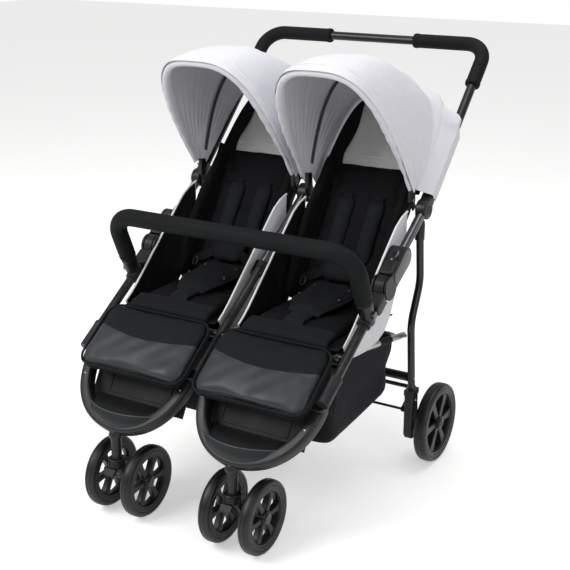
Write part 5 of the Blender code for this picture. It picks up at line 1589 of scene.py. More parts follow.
        def strap_top(u: float, v: float) -> Vector:
            return strap(u, v, 0.003 + 0.005 * (1 - abs(2 * u - 1) ** 3) * (1 - abs(2 * v - 1) ** 6))

        front = subdivide(closed_slab("crotch_pad", 10, 16, strap_top, lambda u, v: strap(u, v, 0.0), "harness", 80.0))
        pieces = [smooth_faces(pad, 80.0), binding, smooth_faces(front, 80.0)]
        for across, along in ((-0.047, 0.82), (-0.054, 0.45), (0.047, 0.82), (0.054, 0.45)):
            place = self.bib_point(across, along, 0.0128)
            pieces.append(lathe("snap", [(-0.003, 0.0), (-0.003, 0.0026), (0.0010, 0.0024), (0.0014, 0.0012),
                                         (0.0012, 0.0)], place, "silver", 16, Vector((0.0, -0.15, 1.0))))
        return fuse(f"bib_set_{self.side}", pieces)

    def front_roll(self) -> bpy.types.Object:
        """Return the soft front edge that joins the cushion to the calf rest."""
        def top(u: float, v: float) -> Vector:
            across = 2 * u - 1
            y = -0.252 + 0.050 * v
            z = PLAN.seat_base + 0.0215 + 0.0065 * smooth(0.0, 1.0, v) - 0.010 * (1 - smooth(0.0, 0.25, v))
            return Vector((self.centre + across * (0.119 - 0.004 * abs(across) ** 3), y, z + 0.002 * (1 - across ** 4)))

        def bottom(u: float, v: float) -> Vector:
            point = top(u, v)
            return Vector((point.x, point.y, point.z - 0.012))

        pad = subdivide(closed_slab("front_roll", 24, 12, top, bottom, "calf", 80.0))
        rumple(pad, 26.0, 0.0012, 71.0 + self.sign)
        pan = closed_slab("seat_pan", 12, 10, lambda u, v: self.pan(u, v, 0.0016), lambda u, v: self.pan(u, v, 0.0),
                          "calf")
        return fuse(f"front_roll_{self.side}", [smooth_faces(pad, 80.0), pan])

    def pan(self, u: float, v: float, lift: float) -> Vector:
        """Return a point of the cloth pan that closes the seat round its cushion."""
        x = self.centre + self.sign * (-0.132 + 0.270 * u)
        return Vector((x, -0.245 + 0.285 * v, PLAN.seat_base + 0.0005 + lift))

    def build(self) -> None:
        """Build the seat and hang it on its bodies."""
        cushion = put(self.cushion(), Body.LINK, f"seat_cushion_{self.side}")
        backrest = put(self.backrest(), f"backrest_{self.side}", f"backrest_{self.side}")
        harness = put(self.harness(), f"backrest_{self.side}", f"harness_{self.side}")
        for piece in (self.bib(), self.front_roll()):
            put(piece, Body.LINK)


@dataclass
class SidePanel(Sided):
    """One light cloth panel at a seat's side, with its pale piping and black lining."""

    place: str
    x: float
    cloth: float = 0.0013
    lining: float = 0.0019
    edge: tuple[tuple[float, float], ...] = ((-0.228, 0.447), (-0.205, 0.457), (-0.178, 0.474), (-0.150, 0.495),
                                             (-0.120, 0.520), (-0.082, 0.553), (-0.045, 0.588), (-0.008, 0.625),
                                             (0.030, 0.662), (0.058, 0.681), (0.085, 0.692))
    foot: tuple[tuple[float, float], ...] = ((-0.215, 0.420), (-0.195, 0.411), (-0.165, 0.407), (-0.130, 0.404),
                                             (-0.095, 0.404), (-0.058, 0.410), (-0.026, 0.422), (0.000, 0.448),
                                             (0.028, 0.500), (0.056, 0.556), (0.082, 0.612))

    def along(self, line: tuple[tuple[float, float], ...], part: float) -> Vector:
        """Return the point at a part of a line of (y, z) points."""
        spot = part * (len(line) - 1)
        low = min(int(spot), len(line) - 2)
        share = spot - low
        first, second = line[low], line[low + 1]
        return Vector((0.0, first[0] + (second[0] - first[0]) * share, first[1] + (second[1] - first[1]) * share))

    def surface(self, shift: float, shrink: float) -> Surface:
        """Return the panel's surface, moved sideways and drawn in from its edges."""
        def point(u: float, v: float) -> Vector:
            u = shrink + (1 - 2 * shrink) * u
            v = shrink + (1 - 2 * shrink) * v
            full = 0.013 * math.sin(math.pi * u)
            edge = self.along(self.edge, u) + Vector((0.0, -full * 0.7, full * 0.7))
            spot = self.along(self.foot, u).lerp(edge, v)
            fold = 0.0045 * crease(Vector((0.0, spot.y * 1.4, spot.z * 0.6)), 16.0, self.sign * 3 + self.x * 9)
            fold += 0.0012 * math.sin(u * 30.0 + v * 6.0) * (1 - v)
            if self.place == "outer":
                fold = abs(fold) * self.sign
            loose = math.sin(math.pi * u) * math.sin(math.pi * v)
            return Vector((self.sign * (self.x + shift) + fold * loose, spot.y, spot.z))
        return point

    def build(self) -> None:
        """Build the panel and hang it on its body."""
        inward = 1.0 if self.place == "inner" else -1.0
        body = Body.LINK if self.place == "inner" else Body.FRAME
        node = f"side_panel_{self.side}_{self.place}"
        panel = cloth_shell(f"panel_cloth_{self.side}_{self.place}", 60, 24, self.surface(0.0012, 0.0), self.cloth,
                            "panel")
        put(panel, body, node)
        lining = cloth_shell(f"panel_lining_{self.side}_{self.place}", 40, 16,
                             self.surface(0.0012 + inward * self.lining, 0.02), 0.0008, "seat")
        put(lining, body)
        top, foot = ([self.surface(0.0012, 0.0)(i / 60, edge) for i in range(61)] for edge in (1.0, 0.0))
        piping = sweep("top_piping", top, ring_section(0.0026, 12), "piping")
        hem = sweep("foot_hem", foot, ring_section(0.0018, 10), "piping")
        assemble(f"panel_piping_{self.side}_{self.place}", [piping, hem], body)


@dataclass
class Basket:
    """Open cloth basket that sags from the rim tube."""

    half: float = 0.288
    front: float = -0.240
    rear: float = 0.090
    bottom: float = 0.214
    bottom_front: float = 0.182
    inset: float = 0.012
    corner_power: float = 16.0
    wall_share: float = 0.62
    cloth: float = 0.0014

    @property
    def middle(self) -> float:
        """Return the y of the basket's middle."""
        return (self.front + self.rear) / 2

    def floor_z(self, y: float) -> float:
        """Return the height of the basket's floor, which drops towards the front."""
        return self.bottom_front + (self.bottom - self.bottom_front) * (y - self.front) / (self.rear - self.front)

    def outline(self, part: float, grow: float) -> tuple[float, float]:
        """Return (x, y) round the basket; part runs from 0 to 1 and the corners are rounded."""
        angle, power = math.tau * part, 2 / self.corner_power
        depth = (self.rear - self.front) / 2
        return (bent(math.cos(angle), power) * (self.half + grow),
                self.middle + bent(math.sin(angle), power) * (depth + grow))

    def build(self) -> None:
        """Build the basket's walls, floor, rim band and bolts, and hang them on the seat link."""
        def surface(u: float, v: float) -> Vector:
            fall = min(v / self.wall_share, 1.0)
            inner = max(v - self.wall_share, 0.0) / (1 - self.wall_share)
            drawn = -self.inset * fall - 0.003 * smooth(0.9, 1.0, fall)
            x, y = self.outline(u, drawn)
            top = PLAN.rim_z(y) - PLAN.rim_radius - 0.003 - (0.020 if y < self.front + 0.03 else 0.0)
            floor = self.floor_z(y)
            z = top + (floor + 0.006 - top) * fall
            belly = 0.004 * math.sin(math.pi * fall)
            fold = 0.0045 * crease(Vector((x, y, z * 0.25)), 11.0, 4.0) * math.sin(math.pi * min(fall * 0.9 + 0.1, 1.0))
            fold += 0.0050 * math.sin((x * 0.9 + y * 7.0 + z * 9.0) * 5.2) * math.sin(math.pi * fall)
            fold += 0.0025 * math.sin(u * 74.0 + 2.0 * math.sin(u * 13.0)) * (1 - fall) ** 2
            out = Vector((x / self.half, (y - self.middle) / 0.155, 0.0)).normalized()
            point = Vector((x, y, z)) + out * (belly * 0.3 + fold)
            if inner > 0:
                point = point.lerp(Vector((x * 0.02, self.middle, 0.0)), inner)
                point.z = self.floor_z(point.y) + 0.003 + 0.004 * (1 - inner) ** 3 + 0.002 * crease(point, 14.0, 2.0)
            return point

        shell = self.closed_shell(160, 30, surface)
        put(shell, Body.LINK, "basket")
        band = []
        for i in range(81):
            x, y = self.outline(-0.02 + 0.54 * i / 80, 0.0)
            band.append(Vector((x, y, PLAN.rim_z(y) - PLAN.rim_radius - 0.004)))
        pieces = [sweep("rim_hem", band, strap_section(0.012, 0.003), "webbing", up=UP)]
        for edge in (-1.0, 1.0):
            for start, end in ((-0.232, -0.120), (-0.030, 0.030)):
                places = [start + (end - start) * i / 12 for i in range(13)]
                path = [Vector((edge * PLAN.rim_x, y, PLAN.rim_z(y))) for y in places]
                pieces.append(sweep("rim_sleeve", path, ring_section(0.0094, 20), "basket"))
                for spot in (start + 0.006, end - 0.006):
                    pieces.append(lathe("rim_bolt", [(0.0, 0.0), (0.0, 0.0030), (0.0010, 0.0026), (0.0012, 0.0)],
                                        (edge * 0.3068, spot, PLAN.rim_z(spot)), "steel", 12,
                                        Vector((edge, 0.0, 0.0))))
        assemble("basket_trims", pieces, Body.LINK)

    def closed_shell(self, around: int, down: int, surface: Surface) -> bpy.types.Object:
        """Return the basket's shell, closed round and thickened inwards."""
        shape = bmesh.new()
        layers = []
        for depth in (0.0, self.cloth):
            layer = []
            for j in range(down + 1):
                line = []
                for i in range(around):
                    point = surface(i / around, j / down)
                    inward = Vector((-point.x, self.middle - point.y, 0.0)).normalized() * 0.7
                    step = inward.lerp(UP, smooth(0.55, 0.66, j / down))
                    line.append(shape.verts.new(point + step * depth))
                layer.append(line)
            for low, high in zip(layer, layer[1:]):
                bridge(shape, low, high)
            shape.faces.new(layer[-1])
            layers.append(layer)
        bridge(shape, layers[0][0], layers[1][0])
        return finish_object("basket_cloth", shape, "basket", 60.0)


class Fasteners:
    """Small repeated parts, placed by one Geometry Nodes group."""

    @classmethod
    def group(cls) -> bpy.types.NodeTree:
        """Return the node group that stands a piece on each point, turned to the point's own direction."""
        name = "stand on points"
        if name in bpy.data.node_groups:
            return bpy.data.node_groups[name]
        tree = bpy.data.node_groups.new(name, "GeometryNodeTree")
        tree.interface.new_socket("Geometry", in_out="INPUT", socket_type="NodeSocketGeometry")
        tree.interface.new_socket("Piece", in_out="INPUT", socket_type="NodeSocketObject")
        tree.interface.new_socket("Material", in_out="INPUT", socket_type="NodeSocketMaterial")
        tree.interface.new_socket("Geometry", in_out="OUTPUT", socket_type="NodeSocketGeometry")
        pen = Nodes(tree)
        given = pen.add("NodeGroupInput")
        piece = pen.add("GeometryNodeObjectInfo")
        tree.links.new(given.outputs["Piece"], piece.inputs["Object"])
        facing = pen.add("GeometryNodeInputNamedAttribute", data_type="FLOAT_VECTOR")
        facing.inputs["Name"].default_value = "facing"
        turn = pen.add("FunctionNodeAlignRotationToVector", axis="Z")
        tree.links.new(facing.outputs["Attribute"], turn.inputs["Vector"])
        stand = pen.add("GeometryNodeInstanceOnPoints")
        tree.links.new(given.outputs["Geometry"], stand.inputs["Points"])
        tree.links.new(piece.outputs["Geometry"], stand.inputs["Instance"])
        tree.links.new(turn.outputs["Rotation"], stand.inputs["Rotation"])
        real = pen.add("GeometryNodeRealizeInstances")
        tree.links.new(stand.outputs["Instances"], real.inputs["Geometry"])
        paint = pen.add("GeometryNodeSetMaterial")
        tree.links.new(real.outputs["Geometry"], paint.inputs["Geometry"])
        tree.links.new(given.outputs["Material"], paint.inputs["Material"])
        result = pen.add("NodeGroupOutput")
        tree.links.new(paint.outputs["Geometry"], result.inputs["Geometry"])
        return tree

    @classmethod
    def place(cls, name: str, piece: bpy.types.Object, spots: Sequence[tuple[Vector, Vector]],
              finish: str) -> bpy.types.Object:
        """Stand copies of a piece on spots.

        Args:
            name: name of the result.
            piece: the piece, built round the origin with its top along Z; it is removed afterwards.
            spots: (place, direction) of each copy.
            finish: name of the finish.

        Returns:
            One object with all copies.
        """
        mesh = bpy.data.meshes.new(f"{name}_points")
        mesh.from_pydata([spot[0] for spot in spots], [], [])
        facing = mesh.attributes.new("facing", "FLOAT_VECTOR", "POINT")
        for i, spot in enumerate(spots):
            facing.data[i].vector = spot[1]
        points = bpy.data.objects.new(f"{name}_points", mesh)
        bpy.context.scene.collection.objects.link(points)
        tree = cls.group()
        modifier = points.modifiers.new("stand", "NODES")
        modifier.node_group = tree
        keys = {socket.name: socket.identifier for socket in tree.interface.items_tree if socket.in_out == "INPUT"}
        modifier[keys["Piece"]] = piece
        modifier[keys["Material"]] = Palette.get(finish)
        graph = bpy.context.evaluated_depsgraph_get()
        shape = bmesh.new()
        shape.from_mesh(bpy.data.meshes.new_from_object(points.evaluated_get(graph)))
        points.modifiers.clear()
        bpy.data.objects.remove(points, do_unlink=True)
        bpy.data.objects.remove(piece, do_unlink=True)
        return finish_object(name, shape, finish, 35.0)

    @classmethod
    def screws(cls, name: str, spots: Sequence[tuple[Vector, Vector]], radius: float,
               finish: str = "steel") -> bpy.types.Object:
        """Return pan-head screws with a hollow drive on each spot."""
        head = lathe("head", [(-0.001, 0.0), (-0.001, radius), (radius * 0.25, radius), (radius * 0.55, radius * 0.7),
                              (radius * 0.60, radius * 0.42), (radius * 0.2, radius * 0.36), (radius * 0.2, 0.0)],
                     (0.0, 0.0, 0.0), finish, 18, UP)
        return cls.place(name, head, spots, finish)

    @classmethod
    def dots(cls, name: str, spots: Sequence[tuple[Vector, Vector]], radius: float, finish: str) -> bpy.types.Object:
        """Return low round dots on each spot."""
        dot = lathe("dot", [(-0.0006, 0.0), (-0.0006, radius), (0.0, radius), (radius * 0.35, radius * 0.6),
                            (radius * 0.45, 0.0)], (0.0, 0.0, 0.0), finish, 10, UP)
        return cls.place(name, dot, spots, finish)


def rod(name: str, points: Sequence[Sequence[float]], radius: float, finish: str, bend: float = 0.05,
        sides: int = 28) -> bpy.types.Object:
    """Return a smooth bent tube with slightly rounded ends."""
    return sweep(name, rounded(points, bend, 14), ring_section(radius, sides), finish)


def spin_arc(centre: tuple[float, float], radius: float, start: float, end: float) -> list[tuple[float, float]]:
    """Return a fine arc of (y, z) points."""
    return arc(centre, radius, start, end, 24)


@dataclass
class Wheel:
    """Six-spoked wheel with a foam tyre; its axle lies along X."""

    name: str
    place: tuple[float, float, float]
    radius: float
    width: float
    outward: float
    bore: float
    count: int = 6

    def tyre(self) -> bpy.types.Object:
        """Return the tyre with its two mould lines."""
        half, radius = self.width / 2, self.radius
        inner = radius - 0.0215
        side = [(half * 0.80, inner), (half * 0.93, inner + 0.002), (half * 0.96, radius - 0.0135),
                (half * 0.90, radius - 0.0128), (half * 0.90, radius - 0.0118), (half * 0.99, radius - 0.0108),
                (half * 0.98, radius - 0.0070), (half * 0.86, radius - 0.0030), (half * 0.62, radius - 0.0008),
                (half * 0.42, radius - 0.0001), (half * 0.36, radius - 0.0012), (half * 0.28, radius - 0.0012),
                (half * 0.22, radius)]
        profile = [(-along, reach) for along, reach in side] + [(along, reach) for along, reach in side[::-1]]
        return lathe("tyre", profile, self.place, "tyre", 96)

    def rim(self) -> bpy.types.Object:
        """Return the plastic rim inside the tyre."""
        half, low, high = self.width * 0.42, self.radius - 0.0295, self.radius - 0.0205
        profile = [(-half, high), (-half * 1.04, high - 0.0015), (-half, low + 0.0035), (-half * 0.72, low + 0.001),
                   (-half * 0.2, low), (half * 0.2, low), (half * 0.72, low + 0.001), (half, low + 0.0035),
                   (half * 1.04, high - 0.0015), (half, high)]
        return lathe("rim", profile, self.place, "plastic", 96)

    def spokes(self) -> list[bpy.types.Object]:
        """Return the six spokes, which widen towards the rim."""
        pieces = []
        x, y, z = self.place
        reach = [0.0135, 0.020, 0.030, (self.radius - 0.030) * 0.75, self.radius - 0.032, self.radius - 0.0275]
        width = [0.0075, 0.0066, 0.0060, 0.0066, 0.0088, 0.0135]
        if self.radius > 0.1:
            width = [0.0085, 0.0078, 0.0074, 0.0094, 0.0125, 0.0180]
        for number in range(self.count):
            angle = math.tau * number / self.count
            outline = []
            for side in (1, -1):
                line = [(y + math.cos(angle) * r - math.sin(angle) * w * side,
                         z + math.sin(angle) * r + math.cos(angle) * w * side) for r, w in zip(reach, width)]
                outline += line if side > 0 else line[::-1]
            pieces.append(plate("spoke", outline, x - self.width * 0.30, x + self.width * 0.30, "plastic", 0.0022))
        return pieces

    def hub(self) -> list[bpy.types.Object]:
        """Return the hub with its cap on the outer side, and on a large wheel two slots across the cap."""
        half = self.width / 2
        out = Vector((self.outward, 0.0, 0.0))
        barrel = lathe("barrel", [(-half + 0.001, self.bore), (-half + 0.001, 0.0150), (-half + 0.003, 0.0168),
                                  (half - 0.003, 0.0168), (half - 0.001, 0.0150), (half - 0.001, self.bore)],
                       self.place, "plastic")
        cap = lathe("cap", [(half - 0.0025, 0.0), (half - 0.0025, 0.0125), (half + 0.0005, 0.0122),
                            (half + 0.0022, 0.0100), (half + 0.0024, 0.0062), (half + 0.0016, 0.0058),
                            (half + 0.0016, 0.0)], self.place, "gloss", 40, out)
        pieces = [barrel, cap]
        if self.radius > 0.1:
            for turn in (0.0, math.pi / 2):
                bar = box("slot", (half + 0.0004, -0.0110, -0.0010), (half + 0.0030, 0.0110, 0.0010), "shell", 0.0004,
                          Matrix.Translation(self.place) @ Matrix.Scale(self.outward, 4, Vector((1.0, 0.0, 0.0)))
                          @ Matrix.Rotation(turn, 4, "X"))
                pieces.append(bar)
        return pieces

    def build(self) -> None:
        """Build the wheel and hang it on its body."""
        assemble(f"{self.name}_set", [self.tyre(), self.rim(), *self.spokes(), *self.hub()], self.name, self.name)
        marks = []
        for number in range(self.count):
            angle = math.tau * (number + 0.5) / self.count
            face = Vector((self.outward, 0.0, 0.0))
            spot = Vector(self.place) + face * (self.width * 0.48) + Vector(
                (0.0, math.cos(angle), math.sin(angle))) * (self.radius - 0.0165)
            marks.append((spot, face))
        put(Fasteners.dots(f"{self.name}_marks", marks, 0.0017, "tyre"), self.name)


@dataclass
class Running:
    """Wheels, casters, wheel mounts and the foot brake."""

    caster_y: float = -0.4630
    stem_z: float = 0.205
    trail: float = 0.040
    front_radius: float = 0.0875
    wheel_gap: float = 0.053
    rear_wheel: tuple[float, float, float] = (0.358, 0.199, 0.1045)

    def caster(self, side: str, sign: float) -> None:
        """Build one caster: stem, collar with grooves, arm, hub and axle nuts."""
        x = sign * PLAN.seat_x
        axle = (self.caster_y + self.trail, self.front_radius)
        stem = lathe("stem", [(0.0, 0.0), (0.0, 0.0125), (self.stem_z - 0.150 - 0.001, 0.0125),
                              (self.stem_z - 0.150, 0.0)], (x, self.caster_y, 0.1495), "plastic", 40, UP)
        rings = [(0.0, 0.0), (0.0, 0.0190), (0.0015, 0.0208)]
        for step in range(4):
            low = 0.003 + 0.0045 * step
            rings += [(low, 0.0213), (low + 0.0028, 0.0213), (low + 0.0032, 0.0203), (low + 0.0042, 0.0203)]
        rings += [(0.0222, 0.0213), (0.0238, 0.0195), (0.0240, 0.0)]
        collar = lathe("collar", rings, (x, self.caster_y, 0.128), "plastic", 56, UP)
        outline = [(self.caster_y - 0.0145, 0.1345), (self.caster_y + 0.0172, 0.1345)]
        outline += spin_arc(axle, 0.0180, math.radians(70), math.radians(-110))
        arm = plate("arm", outline, x - 0.0160, x + 0.0160, "plastic", 0.0035)
        rib_line = [(self.caster_y - 0.006, 0.1300), (self.caster_y + 0.008, 0.1300),
                    (axle[0] + 0.006, axle[1] + 0.008), (axle[0] - 0.008, axle[1] + 0.002)]
        rib = plate("rib", rib_line, x - 0.0172, x + 0.0172, "shell", 0.0012)
        span = self.wheel_gap - 0.014 - 0.002
        hub = lathe("caster_hub", [(-span, 0.0), (-span, 0.0122), (-span + 0.002, 0.0135), (span - 0.002, 0.0135),
                                   (span, 0.0122), (span, 0.0)], (x, *axle), "plastic", 40)
        nuts = []
        for edge in (-1.0, 1.0):
            nuts.append(lathe("axle_end", [(-0.030, 0.0), (-0.030, 0.0041), (0.0, 0.0041), (0.0006, 0.0030),
                                           (0.0006, 0.0)], (x + edge * (self.wheel_gap + 0.0095), *axle), "steel", 20,
                              Vector((edge, 0.0, 0.0))))
        assemble(f"caster_set_{side}", [collar, stem, arm, rib, hub, *nuts], f"caster_{side}", f"caster_fork_{side}")

    def mount(self, side: str, sign: float) -> None:
        """Build the boot at the foot of a rear leg with its collar, screws and axle boss."""
        centre, wheel = 0.123, self.rear_wheel
        inner, outer = sign * 0.3095, sign * 0.3335
        out = Vector((sign, 0.0, 0.0))
        outline = [(centre - 0.0165, 0.216), (centre - 0.0165, 0.096), (centre - 0.0100, 0.0845),
                   (centre + 0.0170, 0.0845)]
        outline += spin_arc((wheel[1], wheel[2]), 0.0188, -math.pi / 2, math.pi / 2)
        outline += [(centre + 0.034, 0.138), (centre + 0.0200, 0.154), (centre + 0.0165, 0.175),
                    (centre + 0.0165, 0.216)]
        boot = plate("boot", outline, inner, outer, "plastic", 0.0035)
        band = plate("collar", [(centre - 0.0185, 0.2190), (centre - 0.0185, 0.2040), (centre + 0.0185, 0.2040),
                                (centre + 0.0185, 0.2190)], inner - sign * 0.001, outer + sign * 0.001, "plastic",
                     0.0015)
        axle = lathe("axle", [(-0.014, 0.0), (-0.014, 0.0054), (0.014, 0.0054), (0.0150, 0.0)],
                     (sign * wheel[0], *wheel[1:]), "steel", 24)
        boss = lathe("boss", [(-0.010, 0.0), (-0.010, 0.0188), (0.0050, 0.0165), (0.0060, 0.0)],
                     (outer, *wheel[1:]), "plastic", 40, out)
        assemble(f"wheel_mount_set_{side}", [boot, band, boss, axle], Body.REAR, f"wheel_mount_{side}")
        spots = [(Vector((outer, centre, 0.190)), out), (Vector((outer, centre - 0.002, 0.110)), out),
                 (Vector((outer, centre + 0.048, 0.104)), out)]
        put(Fasteners.screws(f"mount_screws_{side}", spots, 0.0032), Body.REAR)

    def brake(self) -> None:
        """Build the thin rod and the foot bar of the brake."""
        half, pivot, foot = 0.306, (0.121, 0.158), (0.180, 0.196)
        pieces = [rod("brake_rod", [(-half, *pivot), (half, *pivot)], 0.0035, "paint", sides=20),
                  rod("foot_bar", [(-half, *foot), (half, *foot)], 0.0055, "paint", sides=24)]
        for edge in (-1.0, 1.0):
            outline = spin_arc(pivot, 0.0072, math.radians(122), math.radians(302))
            outline += spin_arc(foot, 0.0082, math.radians(-58), math.radians(122))
            pieces.append(plate("arm", outline, edge * (half - 0.001), edge * (half - 0.009), "plastic", 0.0015))
        assemble("brake_set", pieces, Body.BRAKE, "brake_bar")

    def build(self) -> None:
        """Build all running gear."""
        axle = (self.caster_y + self.trail, self.front_radius)
        for side, sign in SIDES:
            for place, offset in (("outer", sign), ("inner", -sign)):
                x = sign * PLAN.seat_x + offset * self.wheel_gap
                Wheel(f"front_wheel_{side}_{place}", (x, *axle), self.front_radius, 0.028, offset, 0.0047).build()
            Wheel(f"rear_wheel_{side}", (sign * self.rear_wheel[0], *self.rear_wheel[1:]), self.rear_wheel[2], 0.034,
                  sign, 0.0060).build()
            self.caster(side, sign)
            self.mount(side, sign)
        self.brake()


@dataclass
class Tubes:
    """All metal tubes, the push handle with its grips, and the bumper bar."""

    bend: float = 0.055
    leg_x: float = 0.322
    leg_radius: float = 0.0095

    def handle(self) -> None:
        """Build the push handle and its foam grips with collars."""
        foot = PLAN.on_handle(PLAN.side_x, 0.0455)
        top = PLAN.handle
        points = [(PLAN.side_x, foot.y, foot.z), (PLAN.side_x, *top), (-PLAN.side_x, *top),
                  (-PLAN.side_x, foot.y, foot.z)]
        put(rod("handle_tube_smooth", points, PLAN.tube_radius, "paint", self.bend, 36), Body.UPPER, "handle_tube")
        for side, sign in SIDES:
            x = sign * PLAN.side_x
            low = PLAN.along(PLAN.handle, PLAN.handle_pitch, -self.bend - 0.075)
            path = evenly(rounded([(x, *low), (x, *top), (x - sign * (self.bend + 0.150), *top)], self.bend, 16), 0.003)

            def swollen(part: float) -> float:
                edge = min(part, 1 - part)
                collar = 1.06 if edge < 0.035 else 1.0
                step = 0.90 if 0.035 <= edge < 0.042 else 1.0
                return collar * step * (1.0 - 0.05 * max(1 - edge / 0.006, 0.0))

            grip = sweep(f"grip_foam_{side}", path, ring_section(0.0183, 36), "foam", scale=swollen)
            put(grip, Body.UPPER, f"grip_{side}")

    def bumper(self) -> None:
        """Build the foam bumper bar with its end collars, the sockets and the release buttons."""
        end = PLAN.on_lower(0.0, -0.098)
        high = (-0.233, 0.668)
        lean = math.atan2(high[1] - end.z, high[0] - end.y)
        foot = PLAN.along((end.y, end.z), lean, 0.052)
        x = 0.335
        path = evenly(rounded([(x, *foot), (x, *high), (-x, *high), (-x, *foot)], 0.062, 20), 0.004)

        def swollen(part: float) -> float:
            edge = min(part, 1 - part)
            seam = 0.955 if 0.016 < edge < 0.020 else 1.0
            return seam * (1.0 - 0.10 * max(1 - edge / 0.006, 0.0))

        foam = sweep("bumper_foam", path, ring_section(0.0214, 44), "foam", scale=swollen)
        collars = []
        direction = Vector((0.0, math.cos(lean), math.sin(lean)))
        for edge in (-1.0, 1.0):
            collars.append(lathe("bumper_collar", [(0.0, 0.0), (0.0, 0.0190), (0.0045, 0.0200), (0.0060, 0.0190),
                                                   (0.0060, 0.0)], (edge * x, *foot), "plastic", 40, direction))
        assemble("bumper_bar_set", [foam, *collars], Body.BUMPER, "bumper_bar")
        for side, sign in SIDES:
            start = PLAN.along((end.y, end.z), lean, -0.010)
            socket = lathe("socket", [(0.0, 0.0), (0.0, 0.0145), (0.003, 0.0164), (0.030, 0.0178), (0.052, 0.0190),
                                      (0.0560, 0.0194), (0.0605, 0.0192), (0.0615, 0.0180), (0.0615, 0.0)],
                           (sign * x, *start), "plastic", 44, direction)
            low = PLAN.on_lower(sign * PLAN.side_x, -0.118)
            clamp = lathe("clamp", [(0.0, 0.0118), (0.0, 0.0155), (0.002, 0.0170), (0.036, 0.0170), (0.0385, 0.0155),
                                    (0.0385, 0.0118)], low, "plastic", 44, PLAN.lower_axis)
            assemble(f"bumper_socket_set_{side}", [socket, clamp], Body.FRAME, f"bumper_socket_{side}")
            press = PLAN.along((end.y, end.z), lean, 0.018)
            face = sign * (x + 0.019 + 0.0035)
            profile = [(-0.0075, 0.0), (-0.0075, 0.0098), (-0.0012, 0.0098), (0.0, 0.0085), (0.0003, 0.0050),
                       (-0.0004, 0.0)]
            button = lathe(f"bumper_button_cap_{side}", profile, (face, *press), "gloss", 40, Vector((sign, 0.0, 0.0)))
            put(button, f"bumper_button_{side}", f"bumper_button_{side}")

    def cheeks(self, x: float, half: float, origin: tuple[float, float], pitch: float, reach: float, radius: float,
               finish: str) -> list[bpy.types.Object]:
        """Return the two cheek plates that join a tube to a pivot, and their pin."""
        pin = PLAN.along(origin, pitch, reach)
        pieces = []
        for cheek in (-1, 1):
            outline = spin_arc(origin, radius, pitch + math.pi / 2, pitch + math.pi * 1.5)
            outline += spin_arc(pin, radius * 0.75, pitch - math.pi / 2, pitch + math.pi / 2)
            pieces.append(plate("cheek", outline, x + cheek * half, x + cheek * (half + 0.0022), finish, 0.0005))
        end = half + 0.0015
        pieces.append(lathe("pin", [(-end, 0.0), (-end, radius * 0.5), (end, radius * 0.5), (end, 0.0)], (x, *pin),
                            finish, 24))
        return pieces

    def side_tubes(self) -> None:
        """Build the lower tubes, the bright grooved upper tubes and the centre tubes."""
        low = PLAN.on_lower(0.0, -PLAN.lower_reach)
        for side, sign in SIDES:
            x = sign * PLAN.side_x
            end = PLAN.on_lower(x, -0.0753)
            put(rod(f"main_tube_smooth_{side}", [(x, low.y, low.z), end], PLAN.tube_radius, "paint", sides=36),
                Body.FRAME, f"main_tube_{side}")
            path = evenly([PLAN.on_lower(x, 0.0305), PLAN.on_lower(x, 0.2277)], 0.01)
            upper = sweep("upper", path, grooved_section(PLAN.tube_radius, 6, 0.0020, 96), "bright",
                          up=Vector((1.0, 0.0, 0.0)), sharp=30.0)
            fork = self.cheeks(x, 0.0123, PLAN.fold, PLAN.lower_pitch, 0.048, 0.0135, "bright")
            assemble(f"upper_tube_set_{side}", [upper, *fork], Body.UPPER, f"upper_tube_{side}")
        centre_end = PLAN.on_lower(0.0, -0.0143)
        lower = rod("lower", [(0.0, low.y, low.z), centre_end], PLAN.tube_radius, "paint", sides=36)
        fork = self.cheeks(0.0, 0.0128, PLAN.fold, PLAN.lower_pitch + math.pi, 0.028, 0.011, "paint")
        assemble("centre_lower_set", [lower, *fork], Body.FRAME, "centre_lower_tube")
        upper = sweep("upper", [Vector((0.0, *PLAN.fold)), Vector((0.0, *PLAN.hub))], ring_section(0.0123, 36),
                      "bright")
        ring = lathe("end_ring", [(-0.0123, 0.0), (-0.0123, 0.0118), (-0.0110, 0.0125), (0.006, 0.0126),
                                  (0.0065, 0.0120), (0.0065, 0.0)], (0.0, *PLAN.fold), "dull", 36, PLAN.lower_axis)
        knob = lathe("knob", [(-0.013, 0.0), (-0.013, 0.0220), (-0.011, 0.0240), (0.011, 0.0240), (0.013, 0.0220),
                              (0.013, 0.0)], (0.0, *PLAN.hub), "plastic")
        assemble("centre_upper_set", [upper, ring, knob], Body.UPPER, "centre_upper_tube")

    def leg_points(self, x: float) -> list[tuple[float, float, float]]:
        """Return the corners of a rear leg's path."""
        hub = PLAN.hub
        return [(x, hub[0] + 0.004, hub[1] - 0.058), (x, 0.149, 0.500), (x, 0.104, 0.404), (x, 0.121, 0.2215)]

